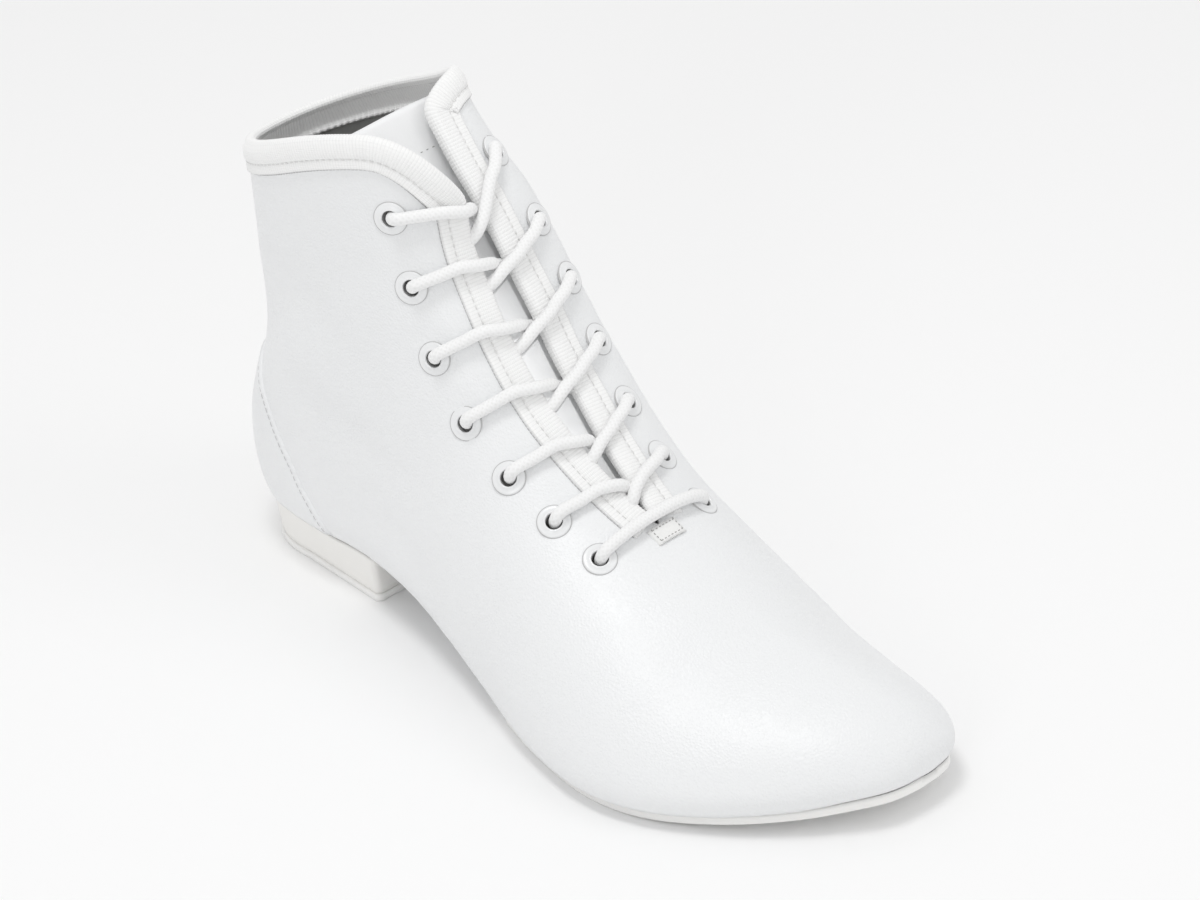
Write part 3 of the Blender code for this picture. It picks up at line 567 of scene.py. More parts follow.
def grained(name, tints, roughness, grain, strength, depth, drift):
    """Two tints that drift into each other over a fine grain."""
    material, tree, shader = new_material(name, tints[0], roughness)
    place = object_place(tree)
    bump(tree, shader, noise(tree, place, *grain), strength, depth)
    tint(tree, shader, noise(tree, place, *drift), *tints)
    return material, shader


def cloth(name, first, second, scale):
    fibre, drift = (scale, 4, 0.65), (scale / 8, 3)
    material, shader = grained(name, (first, second), 0.92, fibre, 0.5, 0.2 * MM, drift)
    shader.inputs["Sheen Weight"].default_value = 0.3
    return material


def rubber(name, first, second):
    return grained(name, (first, second), 0.58, (900, 4, 0.6), 0.25, 0.1 * MM, (40, 4))[0]


def enamel():
    tints = (0.86, 0.865, 0.87), (0.80, 0.81, 0.815)
    material, shader = grained("white_enamel", tints, 0.28, (700, 2), 0.05, 0.05 * MM, (90, 2))
    shader.inputs["Coat Weight"].default_value = 0.4
    return material


HIDE = leather("white_hide", (0.86, 0.868, 0.875), (0.83, 0.838, 0.845), 0.38, 0.6)
# Painted light: the tongue's hide is the same white hide, painted lighter to make up for the shade it lies
# in deep under the throat's flaps.
TONGUE_HIDE_PAINTED_LIGHT = leather("tongue_hide_painted_light", (0.93, 0.935, 0.94), (0.90, 0.905, 0.91), 0.45, 0.18)
TAPE = ribbed_tape()
CORD = braided_cord()
LINING = cloth("lining", (0.50, 0.50, 0.49), (0.44, 0.44, 0.43), 1500)
INSOLE_CLOTH = cloth("insole_cloth", (0.42, 0.42, 0.41), (0.37, 0.37, 0.36), 1200)
SOLE_RUBBER = rubber("sole_rubber", (0.92, 0.915, 0.90), (0.88, 0.875, 0.86))
HEEL_RUBBER = rubber("heel_rubber", (0.91, 0.90, 0.875), (0.87, 0.86, 0.835))
LIFT_RUBBER = rubber("lift_rubber", (0.92, 0.915, 0.90), (0.88, 0.875, 0.86))
ENAMEL = enamel()
THREAD = cloth("thread", (0.82, 0.82, 0.81), (0.74, 0.74, 0.73), 3000)
TAB_TAPE = cloth("tab_tape", (0.88, 0.88, 0.87), (0.82, 0.82, 0.81), 2200)
BORE_SHADE = cloth("bore_shade", (0.34, 0.34, 0.34), (0.28, 0.28, 0.28), 1500)
RING_SHADE = cloth("ring_shade", (0.58, 0.58, 0.58), (0.52, 0.52, 0.52), 1500)
SEAM_SHADE = cloth("seam_shade", (0.46, 0.46, 0.45), (0.39, 0.39, 0.38), 3000)


# Upper

SIDE_LOW = 22
SIDE_HIGH = 46
OPEN_ROW = 7.36
COMMON_TOP = 13.5
ROWS = np.concatenate(
    [
        np.linspace(0.06, 1, 16) ** 1.3,
        np.arange(1.08, OPEN_ROW, 0.08),
        np.arange(OPEN_ROW, COMMON_TOP + 0.001, 0.06),
    ]
)
SHAFT_STEPS = 70


def dense_row(row):
    row = float(row)
    sides = []
    for side in (LATERAL, MEDIAL):
        low = even_angles(row, side, 0, math.pi / 2, SIDE_LOW)
        high = even_angles(row, side, math.pi / 2, top_angle(row, side), SIDE_HIGH)
        sides.append(section_points(section_at(row), side, np.concatenate([low, high[1:]])))
    return np.concatenate([sides[0][::-1], sides[1][1:]])


def collar_drop(distance):
    return COLLAR_DROP * np.clip(1 - distance / COLLAR_CORNER, 0, None) ** 2


def dense_grid():
    common = np.array([dense_row(row) for row in ROWS])
    fine = np.array([dense_row(row) for row in np.linspace(ROWS[-1], COLLAR_ROW, 90)])
    edge = running_length(fine[-1])
    drop = collar_drop(np.minimum(edge, edge[-1] - edge))
    shaft = np.zeros((SHAFT_STEPS, fine.shape[1], 3))
    for column in range(fine.shape[1]):
        run = running_length(fine[:, column])
        stops = np.linspace(0, run[-1] - drop[column], SHAFT_STEPS + 1)[1:]
        shaft[:, column] = at_stops(fine[:, column], run, stops)
    return np.concatenate([common, shaft])


GRID = dense_grid()
GRID_ROWS, GRID_COLUMNS = GRID.shape[:2]
FIRST_OPEN = int(np.searchsorted(ROWS, OPEN_ROW - 1e-6))


def grid_faces():
    """Quads of the outside. Before the throat the last column is the first one."""
    faces = []
    for r in range(GRID_ROWS - 1):
        for c in range(GRID_COLUMNS - 1):
            quad = [(r, c), (r + 1, c), (r + 1, c + 1), (r, c + 1)]
            faces.append([vertex_of(*place) for place in quad])
    return faces


def vertex_of(row, column):
    if row < FIRST_OPEN and column == GRID_COLUMNS - 1:
        column = 0
    return row * GRID_COLUMNS + column


def mesh_normals(vertices, faces):
    mesh = bpy.data.meshes.new("normals")
    mesh.from_pydata(vertices.tolist(), [], faces)
    flat = np.zeros(len(mesh.vertices) * 3)
    mesh.vertex_normals.foreach_get("vector", flat)
    bpy.data.meshes.remove(mesh)
    return flat.reshape(-1, 3)


def crease_depth(points):
    """How far each point is drawn in by the soft creases."""
    depth = np.zeros(len(points))
    for crease in CREASES:
        start = np.array([crease.x0, crease.z0]) * MM
        line = np.array([crease.x1, crease.z1]) * MM - start
        place = points[:, [0, 2]] - start
        t = np.clip(place @ line / (line @ line), 0, 1)
        away = np.linalg.norm(place - t[:, None] * line, axis=1)
        fade = np.sin(math.pi * t) ** 0.7
        side = np.clip(points[:, 1] * crease.side / CREASE_FADE, 0, 1)
        depth += crease.depth * MM * np.exp(-((away / (crease.width * MM)) ** 2)) * fade * side
    return depth


def setback_of(pair, side):
    return (pair.lateral if side == LATERAL else pair.medial) * MM


EYELETS = {
    (side, number): surface_frame(pair.row, side, setback_of(pair, side))
    for side in (LATERAL, MEDIAL)
    for number, pair in enumerate(EYELET_PAIRS, 1)
}
OUTSIDE_FACES = grid_faces()
FLAT_GRID = GRID.reshape(-1, 3)
NORMALS = mesh_normals(FLAT_GRID, OUTSIDE_FACES)
for r in range(FIRST_OPEN):
    NORMALS[r * GRID_COLUMNS + GRID_COLUMNS - 1] = NORMALS[r * GRID_COLUMNS]
SURFACE = BVHTree.FromPolygons(FLAT_GRID.tolist(), OUTSIDE_FACES)


def on_surface(point):
    """The surface's nearest point and its outward normal."""
    place, normal, index, _ = SURFACE.find_nearest(Vector(point))
    near = NORMALS[OUTSIDE_FACES[index]].mean(axis=0)
    return np.array(place), near / np.linalg.norm(near)


def add_upper():
    outside = FLAT_GRID - NORMALS * crease_depth(FLAT_GRID)[:, None]
    for point, _ in EYELETS.values():
        away = np.linalg.norm(FLAT_GRID - point, axis=1)
        outside -= NORMALS * (EYELET_SUNK * np.exp(-((away / EYELET_DENT) ** 2)))[:, None]
    inside = outside - NORMALS * WALL
    count = len(outside)
    tip = count * 2
    faces, slots = [], []
    centres = np.array([outside[list(face)].mean(axis=0) for face in OUTSIDE_FACES])
    keep = np.ones(len(OUTSIDE_FACES), bool)
    for point, _ in EYELETS.values():
        keep &= np.linalg.norm(centres - point, axis=1) > EYELET_HOLE
    for face, kept in zip(OUTSIDE_FACES, keep):
        if kept:
            faces.append(face)
            faces.append([v + count for v in face[::-1]])
            slots += [0, 1]
    last = GRID_COLUMNS - 1
    for r in range(FIRST_OPEN, GRID_ROWS - 1):
        for c, order in ((0, 1), (last, -1)):
            a, b = vertex_of(r, c), vertex_of(r + 1, c)
            faces.append([a, a + count, b + count, b][::order])
            slots.append(0)
    top = GRID_ROWS - 1
    for c in range(last):
        a, b = vertex_of(top, c), vertex_of(top, c + 1)
        faces.append([a, a + count, b + count, b])
        slots.append(0)
    for c in range(last):
        faces.append([tip, vertex_of(0, c), vertex_of(0, c + 1)])
        slots.append(0)
    nose = section_points(section_at(0.0), LATERAL, [0.0])[0]
    vertices = np.concatenate([outside, inside, nose[None]])
    upper = add_mesh("upper_leather", vertices, faces, [HIDE, LINING], slots)
    builder = bmesh.new()
    builder.from_mesh(upper.data)
    loose = [v for v in builder.verts if not v.link_faces]
    bmesh.ops.delete(builder, geom=loose, context="VERTS")
    builder.to_mesh(upper.data)
    builder.free()
    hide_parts("upper")


# Stitches

# Along one stitch: share of its length, then thickness and lift in shares of its radius
STITCH_PROFILE = ((0, 0.25, -0.6), (0.12, 0.8, 0.2), (0.5, 1.0, 0.55), (0.88, 0.8, 0.2), (1.0, 0.25, -0.6))
STITCH_RING = 6


def stitch_rows(name, rows, length, pitch, radius, material):
    """One mesh of short threads along several lines, each a list of points and outward normals."""
    shares, thick, lift = np.array(STITCH_PROFILE).T
    turns = 2 * math.pi * np.arange(STITCH_RING) / STITCH_RING
    stitch_faces = capped_faces(len(shares), STITCH_RING, True)
    vertices, faces = [], []
    for points, normals in rows:
        run = running_length(points)
        for start in np.arange(pitch / 2, run[-1] - length, pitch):
            centre = at_stops(points, run, start + length * shares)
            normal = unit(at_stops(normals, run, start + length * shares))
            across = unit(np.cross(unit(centre[-1] - centre[0]), normal))
            base = len(vertices)
            faces += [[base + v for v in face] for face in stitch_faces]
            for k in range(len(shares)):
                middle = centre[k] + normal[k] * radius * lift[k]
                for a in turns:
                    spread = across[k] * math.cos(a) + normal[k] * math.sin(a)
                    vertices.append(middle + spread * radius * thick[k])
    stitching = add_mesh(name, vertices, faces, [material])
    turn_outward(stitching)


def line_on_surface(points, offset):
    places, normals = zip(*[on_surface(point) for point in points])
    normals = np.array(normals)
    return np.array(places) + normals * offset, normals


# Binding

RIB_SAMPLES = 4
STITCH_LINE = 4.9 * MM
BEAD_HEIGHT = 1.5 * MM
BEAD_START = 118 * MM
BEAD_FADE = 8 * MM


def edge_path():
    """The free edge of the upper, up the lateral throat, round the collar and down the medial throat."""
    lateral = GRID[FIRST_OPEN + 1 :, 0]
    collar = GRID[-1, 1:-1]
    medial = GRID[FIRST_OPEN + 1 :, -1][::-1]
    return eased(np.concatenate([lateral, collar, medial]), 12)


def tape_frames(path):
    """Surface normals along the edge, and the directions out of the surface's edge."""
    along = unit(np.gradient(path, axis=0))
    normals = eased(np.array([on_surface(point)[1] for point in path]), 6)
    normals = unit(normals - along * (normals * along).sum(axis=1)[:, None])
    outward = unit(np.cross(along, normals))
    return normals, outward * np.sign(outward[len(path) // 2][2])


def outer_lift(distance, rib):
    """Height of the tape's outer leg: ribbed up to the stitches, then a flat border."""
    ribbed = np.clip((STITCH_LINE - distance) / (0.7 * MM), 0, 1)
    bulge = 0.32 * MM * math.sin(math.pi * min(distance / STITCH_LINE, 1)) + 0.12 * MM
    groove = 0.3 * MM * math.exp(-(((distance - STITCH_LINE) / (0.6 * MM)) ** 2))
    return TAPE_GAP + TAPE_THICKNESS - 0.15 * MM + ribbed * (bulge + RIB_DEPTH * rib) - groove


def inner_drop(distance, rib, rope):
    """Depth of the tape's inner leg below the wall, with a roped bead at its lower edge."""
    bead = BEAD_HEIGHT * math.exp(-(((distance - TAPE_WIDTH + 1.0 * MM) / (0.65 * MM)) ** 2))
    return WALL + TAPE_GAP + TAPE_THICKNESS - 0.2 * MM + RIB_DEPTH * rib + bead * rope


def tape_ring(edge, outward, normal, rib, rope):
    """One section of the tape round the edge, from its outer border to its inner bead."""
    ring = [on_surface(edge - outward * TAPE_WIDTH)[0] + normal * 0.05 * MM]
    for distance in np.linspace(TAPE_WIDTH - 0.2 * MM, 0.8 * MM, 13):
        place, faced = on_surface(edge - outward * distance)
        ring.append(place + faced * outer_lift(distance, rib))
    core = edge - normal * WALL / 2
    round_edge = WALL / 2 + TAPE_GAP + TAPE_THICKNESS + 0.15 * MM + RIB_DEPTH * rib
    for angle in np.linspace(0, math.pi, 9)[1:-1]:
        ring.append(core + (normal * math.cos(angle) + outward * math.sin(angle)) * round_edge)
    for distance in np.linspace(0.8 * MM, TAPE_WIDTH, 16):
        place, faced = on_surface(edge - outward * distance)
        ring.append(place - faced * inner_drop(distance, rib, rope))
    place, faced = on_surface(edge - outward * (TAPE_WIDTH + 0.2 * MM))
    ring.append(place - faced * (WALL + 0.1 * MM))
    return ring


def add_binding():
    path = edge_path()
    path = resample(path, int(running_length(path)[-1] / (RIB / RIB_SAMPLES)))
    normals, outward = tape_frames(path)
    run = running_length(path)
    ribs = np.abs(np.sin(math.pi * run / RIB)) - 0.5
    at_collar = np.clip((path[:, 2] - BEAD_START) / BEAD_FADE, 0, 1)
    ropes = at_collar * (0.8 + 0.2 * np.sin(math.pi * run / RIB))
    rings, uv = [], []
    for k, edge in enumerate(path):
        ring = tape_ring(edge, outward[k], normals[k], ribs[k], ropes[k])
        rings.append(ring)
        uv += [(run[k], j * 0.8 * MM) for j in range(len(ring))]
    faces = capped_faces(len(rings), len(rings[0]))
    binding = add_mesh("ribbed_binding", np.array(rings).reshape(-1, 3), faces, [TAPE], uv=uv)
    turn_outward(binding)
    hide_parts("binding")
    edges = path[::RIB_SAMPLES]
    inward = -outward[::RIB_SAMPLES]
    stitched = line_on_surface(edges + inward * STITCH_LINE, TAPE_GAP + TAPE_THICKNESS - 0.35 * MM)
    border = line_on_surface(edges + inward * (TAPE_WIDTH + 0.2 * MM), 0)
    stitch_rows("binding_stitches", [stitched], 1.5 * MM, 2.3 * MM, 0.22 * MM, THREAD)
    stitch_rows("binding_border", [border], 1.3 * MM, 1.3 * MM, 0.13 * MM, RING_SHADE)


# Counter


def level_line(z):
    """The surface at one height, from the lateral side round the heel to the medial side."""
    points = []
    start = int(np.searchsorted(ROWS, 8.0))
    for column in range(GRID_COLUMNS):
        heights = GRID[start:, column, 2]
        above = np.nonzero(heights >= z)[0]
        if len(above) == 0 or above[0] == 0:
            continue
        k = above[0]
        t = (z - heights[k - 1]) / (heights[k] - heights[k - 1])
        points.append(GRID[start + k - 1, column] * (1 - t) + GRID[start + k, column] * t)
    return np.array(points)


def counter_line(z, back_off):
    """The part of a level line behind the seam, with its ends a distance back from the seam."""
    stations, heights = np.array(COUNTER_SEAM[::-1]).T * MM
    seam = np.interp(z, heights, stations)
    points = resample(level_line(z), 600)
    behind = np.nonzero(points[:, 0] <= seam)[0]
    part = points[behind[0] : behind[-1] + 1]
    run = running_length(part)
    inside = (run >= back_off) & (run <= run[-1] - back_off)
    return part[inside]


def add_counter():
    levels = np.linspace(COUNTER_LOW, COUNTER_TOP, 44)
    lines = np.array([resample(counter_line(z, 0), 90) for z in levels])
    rows, columns = lines.shape[:2]
    rise_to_top = np.clip(np.arange(rows)[::-1] / 1.5, 0, 1)
    rise = np.clip(steps_from_edge(columns) / 2, 0, 1)[None] * rise_to_top[:, None]
    flat = lines.reshape(-1, 3)
    faced = np.array([on_surface(point)[1] for point in flat])
    outside = flat + faced * ((GAP + COUNTER_THICKNESS) * rise.ravel() - 0.05 * MM)[:, None]
    vertices = np.concatenate([outside, flat - faced * 0.2 * MM])
    counter = add_mesh("counter_leather", vertices, sheet_faces(rows, columns), [HIDE])
    turn_outward(counter)
    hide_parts("heel_counter")
    threads = []
    for end in (0, -1):
        line = np.array([counter_line(z, 1.5 * MM)[end] for z in levels[:-2]])
        line = smooth_path(line[::4], 0.8 * MM)
        threads.append(line_on_surface(line, GAP + COUNTER_THICKNESS - 0.1 * MM))
    stitch_rows("counter_stitches", threads, 1.7 * MM, 2.2 * MM, 0.11 * MM, RING_SHADE)


# Soles


def floor_line(x):
    rise = np.clip((x - TOE_SPRING_START) / (LENGTH - TOE_SPRING_START), 0, None)
    return TOE_SPRING * rise**2


def sole_half_widths(x):
    edges = []
    rows = [float(r) for r in np.arange(9, -0.05, -0.05)]
    for side in (LATERAL, MEDIAL):
        points = [section_points(section_at(r), side, [SOLE_EDGE_ANGLE])[0] for r in rows]
        edges.append(np.interp(x, [q[0] for q in points], [q[1] for q in points]))
    return edges


def underside(x, y, limit):
    """Height of the upper over a point of the floor, or a limit where there is none."""
    place, _, _, _ = SURFACE.ray_cast(Vector((x, y, -0.05)), Vector((0, 0, 1)))
    if place is None:
        return limit
    return min(place.z - GAP, limit)


def sole_section(x, reach, skive):
    lateral, medial = sole_half_widths(x)
    middle = (lateral + medial) / 2
    lateral = middle + (lateral - middle) * reach
    medial = middle + (medial - middle) * reach
    bottom = floor_line(x) + skive
    step = bottom + SOLE_LIP_HEIGHT
    limit = bottom + 9 * MM
    points = []
    for edge, side in ((medial, 1), (lateral, -1)):
        top = underside(x, edge, limit)
        low_round = 0.3 * MM
        wall = [
            (edge + side * (SOLE_LIP - low_round), bottom),
            (edge + side * SOLE_LIP, bottom + low_round),
            (edge + side * SOLE_LIP, min(step - 0.2 * MM, top - 0.3 * MM)),
            (edge + side * SOLE_LIP * 0.4, min(step + 0.1 * MM, top - 0.2 * MM)),
            (edge, min(step + 0.5 * MM, top - 0.1 * MM)),
            (edge - side * 0.1 * MM, top),
        ]
        points += wall if side > 0 else wall[::-1]
        if side > 0:
            across = np.linspace(edge - 1 * MM, lateral + 1 * MM, 15)
            points += [(y, underside(x, y, limit)) for y in across]
    points += [(y, bottom) for y in np.linspace(lateral + 1 * MM, medial - 1 * MM, 9)]
    return [(x, y, z) for y, z in points]


def add_sole():
    rings = []
    for t in np.linspace(0.0, 1, 18):
        reach = SOLE_REAR_REACH + (1 - SOLE_REAR_REACH) * math.sqrt(1 - (1 - t) ** 2)
        rings.append(sole_section(SOLE_REAR + t * SOLE_REAR_ROUND, reach, SOLE_SKIVE * (1 - t) ** 2))
    start = SOLE_REAR + SOLE_REAR_ROUND
    for t in np.sin(np.linspace(0, math.pi / 2, 90)[1:]):
        rings.append(sole_section(start + t * (SOLE_FRONT - start), 1, 0))
    faces = capped_faces(len(rings), len(rings[0]), True)
    sole = add_mesh("sole_rubber_front", np.array(rings).reshape(-1, 3), faces, [SOLE_RUBBER])
    turn_outward(sole)
    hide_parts("forefoot_sole")


def heel_outline(grow, spread=0.0):
    """D-shaped outline of the heel with a small radius at the corners of its breast."""
    length = HEEL_ROUND_MIDDLE - HEEL_BACK + grow
    half = HEEL_HALF_WIDTH + grow + spread
    breast_half = HEEL_BREAST_HALF + grow + spread / 2
    front = HEEL_BREAST + grow
    corner_x, corner_y = front - HEEL_CORNER, breast_half - HEEL_CORNER
    points = []
    for t in np.linspace(-math.pi / 2, math.pi / 2, HEEL_BACK_POINTS):
        back = max(math.cos(t), 0) ** (2 / HEEL_ROUND)
        across = math.copysign(abs(math.sin(t)) ** (2 / HEEL_ROUND), t)
        points.append((HEEL_ROUND_MIDDLE - length * back, half * across))
    for t in np.linspace(0.05, HEEL_SIDE_END, 14):
        x = HEEL_ROUND_MIDDLE + (corner_x - HEEL_ROUND_MIDDLE) * t / HEEL_SIDE_END
        points.append((x, half + (breast_half - half) * t))
    for a in np.linspace(0, math.pi / 2, 6)[1:]:
        points.append((corner_x + HEEL_CORNER * math.sin(a), corner_y + HEEL_CORNER * math.cos(a)))
    points += [(front, y) for y in np.linspace(corner_y, 0, 8)[1:]]
    lateral = [(x, -y) for x, y in points[HEEL_BACK_POINTS:-1]][::-1]
    outline = np.array(points + lateral)
    outline[:, 1] += HEEL_MIDDLE_Y
    return outline


def loft_piece(name, rings, material, node):
    rings = [np.asarray(ring) for ring in rings]
    count = len(rings[0])
    faces = strip_faces(len(rings), count, True)
    vertices = list(np.concatenate(rings))
    for ring, start in ((rings[0], 0), (rings[-1], (len(rings) - 1) * count)):
        vertices.append(ring.mean(axis=0))
        faces += [[start + k, start + (k + 1) % count, len(vertices) - 1] for k in range(count)]
    piece = add_mesh(name, vertices, faces, [material])
    turn_outward(piece)
    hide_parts(node)


def at_height(outline, z):
    return [(x, y, z) for x, y in outline]


def add_heel():
    soft = 0.35 * MM
    lift = [
        at_height(heel_outline(HEEL_LIP - soft), 0),
        at_height(heel_outline(HEEL_LIP), soft),
        at_height(heel_outline(HEEL_LIP), LIFT_THICKNESS - soft),
        at_height(heel_outline(HEEL_LIP - soft), LIFT_THICKNESS),
    ]
    loft_piece("heel_lift_rubber", lift, LIFT_RUBBER, "heel_lift")
    low = LIFT_THICKNESS + GAP * 0.3
    tops = np.array([underside(x, y, HEEL_BLANK) for x, y in heel_outline(0, HEEL_SPREAD)])
    rings = [at_height(heel_outline(-soft), low), at_height(heel_outline(0), low + soft)]
    for t in np.linspace(0.15, 1, 8):
        outline = heel_outline(0, HEEL_SPREAD * t)
        rings.append([(x, y, low + soft + (top - low - soft) * t) for (x, y), top in zip(outline, tops)])
    middle = outline.mean(axis=0)
    for share in np.linspace(0.95, 0.05, 10):
        seat = middle + (outline - middle) * share
        rings.append([(x, y, underside(x, y, HEEL_BLANK)) for x, y in seat])
    loft_piece("heel_block_rubber", rings, HEEL_RUBBER, "heel_block")


# Eyelets


# Half section of an eyelet, in mm: radius and height over the leather. The last rows line the bore
EYELET_PROFILE = (
    (4.75, -0.15),
    (4.80, 0.30),
    (4.65, 0.50),
    (4.30, 0.58),
    (3.30, 0.62),
    (3.05, 0.85),
    (2.75, 0.95),
    (2.50, 0.80),
    (2.45, 0.40),
    (2.45, -2.00),
    (2.90, -2.30),
)
BORE_STEPS = 2
SHADOW_RING = ((5.08, -0.30), (5.04, 0.24), (4.75, 0.24))


def turned(profile, point, normal, turns):
    """Points of a profile turned about an eyelet's axis."""
    turn = np.array(Vector(normal).to_track_quat("Z", "Y").to_matrix())
    sunk = point - normal * EYELET_SUNK
    points = []
    for radius, height in profile:
        for k in range(turns):
            a = 2 * math.pi * k / turns
            points.append(sunk + turn @ np.array([radius * math.cos(a), radius * math.sin(a), height]) * MM)
    return points


def add_eyelets():
    turns = 40
    vertices, faces, slots = [], [], []
    for point, normal in EYELETS.values():
        for profile, dark, slot in ((EYELET_PROFILE, BORE_STEPS, 1), (SHADOW_RING, len(SHADOW_RING), 2)):
            base = len(vertices)
            vertices += turned(profile, point, normal, turns)
            faces += [[base + v for v in face] for face in strip_faces(len(profile), turns, True)]
            steps = len(profile) - 1
            slots += [slot if step >= steps - dark else 0 for step in range(steps) for _ in range(turns)]
    eyelets = add_mesh("enamel_eyelets", vertices, faces, [ENAMEL, BORE_SHADE, RING_SHADE], slots)
    names = [f"eyelet_{'lateral' if side == LATERAL else 'medial'}_{number}" for side, number in EYELETS]
    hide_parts(*names)


# Tongue and tab


def closed_patch(rows, halves, columns):
    """Points and normals of the last over its ridge, with no throat in it."""
    points = []
    for row, half in zip(rows, halves):
        section = section_at(float(row))._replace(stagger=0)
        dense = math.pi - (2 * math.pi / 3) * np.linspace(0, 1, 120) ** 2
        line = []
        for distance in np.linspace(-half, half, columns):
            side = LATERAL if distance < 0 else MEDIAL
            run = running_length(section_points(section, side, dense))
            line.append(section_points(section, side, [np.interp(abs(distance), run, dense)])[0])
        points.append(line)
    points = np.array(points)
    return points, faces_out(points)


def faces_out(points):
    """Outward normals of a grid of points."""
    return unit(np.cross(np.gradient(points, axis=1), np.gradient(points, axis=0)))


def thick_sheet(name, points, normals, thickness, material):
    vertices = np.concatenate([points, points - normals * thickness]).reshape(-1, 3)
    sheet = add_mesh(name, vertices, sheet_faces(*points.shape[:2]), [material])
    turn_outward(sheet)
    return sheet


def tongue_columns(rows):
    """The tongue's table at each row, with its corners eased."""
    stations, *columns = np.array(TONGUE_TABLE).T
    return [eased(np.interp(rows, stations, column) * MM, 20) for column in columns]


def add_tongue():
    rows = np.linspace(TONGUE_TABLE[0].row, TONGUE_TABLE[-1].row, TONGUE_STEPS)
    half, depth, side_depth, rise = tongue_columns(rows)
    points, normals = closed_patch(rows, half, TONGUE_COLUMNS)
    ridge = normals[:, TONGUE_COLUMNS // 2][:, None]
    out = np.linspace(-1, 1, TONGUE_COLUMNS) ** 2
    sunk = depth[:, None] + (side_depth - depth)[:, None] * out
    points = points - ridge * sunk[:, :, None]
    points[:, :, 2] += rise[:, None]
    faced = faces_out(points)
    tongue = thick_sheet("tongue_leather", points, faced, TONGUE_THICKNESS, TONGUE_HIDE_PAINTED_LIGHT)
    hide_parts("tongue")
    hem = (points[-TONGUE_HEM, 2:-2], faced[-TONGUE_HEM, 2:-2])
    stitch_rows("tongue_stitches", [hem], 0.9 * MM, 2.2 * MM, 0.15 * MM, SEAM_SHADE)
    return tongue


def add_tab():
    columns = 21
    rows = np.linspace(*TAB_ROWS, 8)
    points, normals = closed_patch(rows, np.full(len(rows), TAB_HALF), columns)
    rise = 0.35 + 0.65 * np.clip(steps_from_edge(columns) / 2, 0, 1)
    lifted = points + normals * ((GAP + TAPE_THICKNESS) * rise)[None, :, None]
    tab = thick_sheet("throat_tab_tape", lifted, normals, TAPE_THICKNESS, TAB_TAPE)
    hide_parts("throat_tab")
    threads = [(lifted[k, 1:-1], normals[k, 1:-1]) for k in (1, 6)]
    threads += [(lifted[:, k], normals[:, k]) for k in (2, columns - 3)]
    stitch_rows("tab_stitches", threads, 0.8 * MM, 1.3 * MM, 0.17 * MM, SEAM_SHADE)


# Lace


def throat_place(row, share, lift):
    """A point over the throat, a share of the way from its lateral to its medial edge."""
    lateral, medial = [surface_frame(row, side, 0.2 * MM) for side in (LATERAL, MEDIAL)]
    normal = unit(lateral[1] + medial[1])
    return lateral[0] + (medial[0] - lateral[0]) * share + normal * lift


def strand_start(number, side):
    """Lace up an eyelet's bore, hard against its throat side, and over its rim."""
    pair = EYELET_PAIRS[number - 1]
    point, normal = EYELETS[(side, number)]
    towards = unit(surface_point(pair.row, side, setback_of(pair, side) - 6 * MM) - point)
    bore = point + towards * LACE_OFF_CENTRE
    return [
        bore - normal * 4.0 * MM,
        bore + normal * 0.1 * MM,
        point + normal * (LACE_RADIUS + 0.75 * MM) + towards * 3.2 * MM,
    ]


def strand_row(number, side, share, across=0.0):
    """Row that a strand has reached, a share of the way from its pair of eyelets to the next."""
    pair, below = EYELET_PAIRS[number - 1], EYELET_PAIRS[number]
    if number == 1:
        share = share * TOP_STEEPNESS[side] + across * TOP_CROSS[side]
    return pair.row + (below.row - pair.row) * share


def outside_run(number, side):
    """Lace from an eyelet over its flap and tape, across the throat and down at the other edge."""
    run = LACE_RUNS[side]
    setback = setback_of(EYELET_PAIRS[number - 1], side)
    points = strand_start(number, side)
    for share, t in ((run.flap * 0.6, 0.45), (run.flap, 0.72), (run.edge, 0.97)):
        distance = setback * (1 - t)
        place, faced = surface_frame(strand_row(number, side, share), side, distance)
        on_tape = distance < TAPE_WIDTH + LACE_RADIUS
        points.append(place + faced * (LACE_RADIUS + (TAPE_TOP if on_tape else 0.3 * MM)))
    for share, across, lift in THROAT_PASSES[side]:
        points.append(throat_place(strand_row(number, side, share, across), across, lift * MM))
    place, faced = surface_frame(strand_row(number, side, run.far, 1), -side, 1.5 * MM)
    points.append(place - faced * (TAPE_BELOW + LACE_RADIUS))
    return points


def inside_run(number, side):
    """Lace under a flap, from its edge to below the next eyelet's bore."""
    below = EYELET_PAIRS[number]
    start = strand_row(number, -side, LACE_RUNS[-side].under, 1)
    setback = setback_of(below, side)
    points = []
    for share, t in ((0, 0.35), (0.5, 0.62), (1, 0.85)):
        place, faced = surface_frame(start + (below.row - start) * share, side, setback * t)
        on_tape = setback * t < TAPE_WIDTH + LACE_RADIUS
        points.append(place - faced * (LACE_RADIUS + (TAPE_BELOW if on_tape else WALL + 0.4 * MM)))
    return points


def bottom_bar(side):
    """Lace from one of the lowest eyelets to the middle over the foot of the throat."""
    last = EYELET_PAIRS[-1]
    setback = setback_of(last, side)
    points = strand_start(len(EYELET_PAIRS), side)
    for t in (0.5, 0.85):
        place, faced = surface_frame(last.row, side, setback * (1 - t))
        points.append(place + faced * (LACE_RADIUS + TAPE_TOP + 0.2 * MM))
    return points


def lace_path():
    """From the top lateral eyelet down to the bottom bar and up to the top medial one."""
    crossings = len(EYELET_PAIRS) - 1
    path = []
    side = LATERAL
    for number in range(1, crossings + 1):
        path += outside_run(number, side)
        side = -side
        path += inside_run(number, side)
    path += bottom_bar(side) + bottom_bar(-side)[::-1]
    side = -side
    for number in range(crossings, 0, -1):
        path += inside_run(number, side)[::-1]
        side = -side
        path += outside_run(number, side)[::-1]
    return path


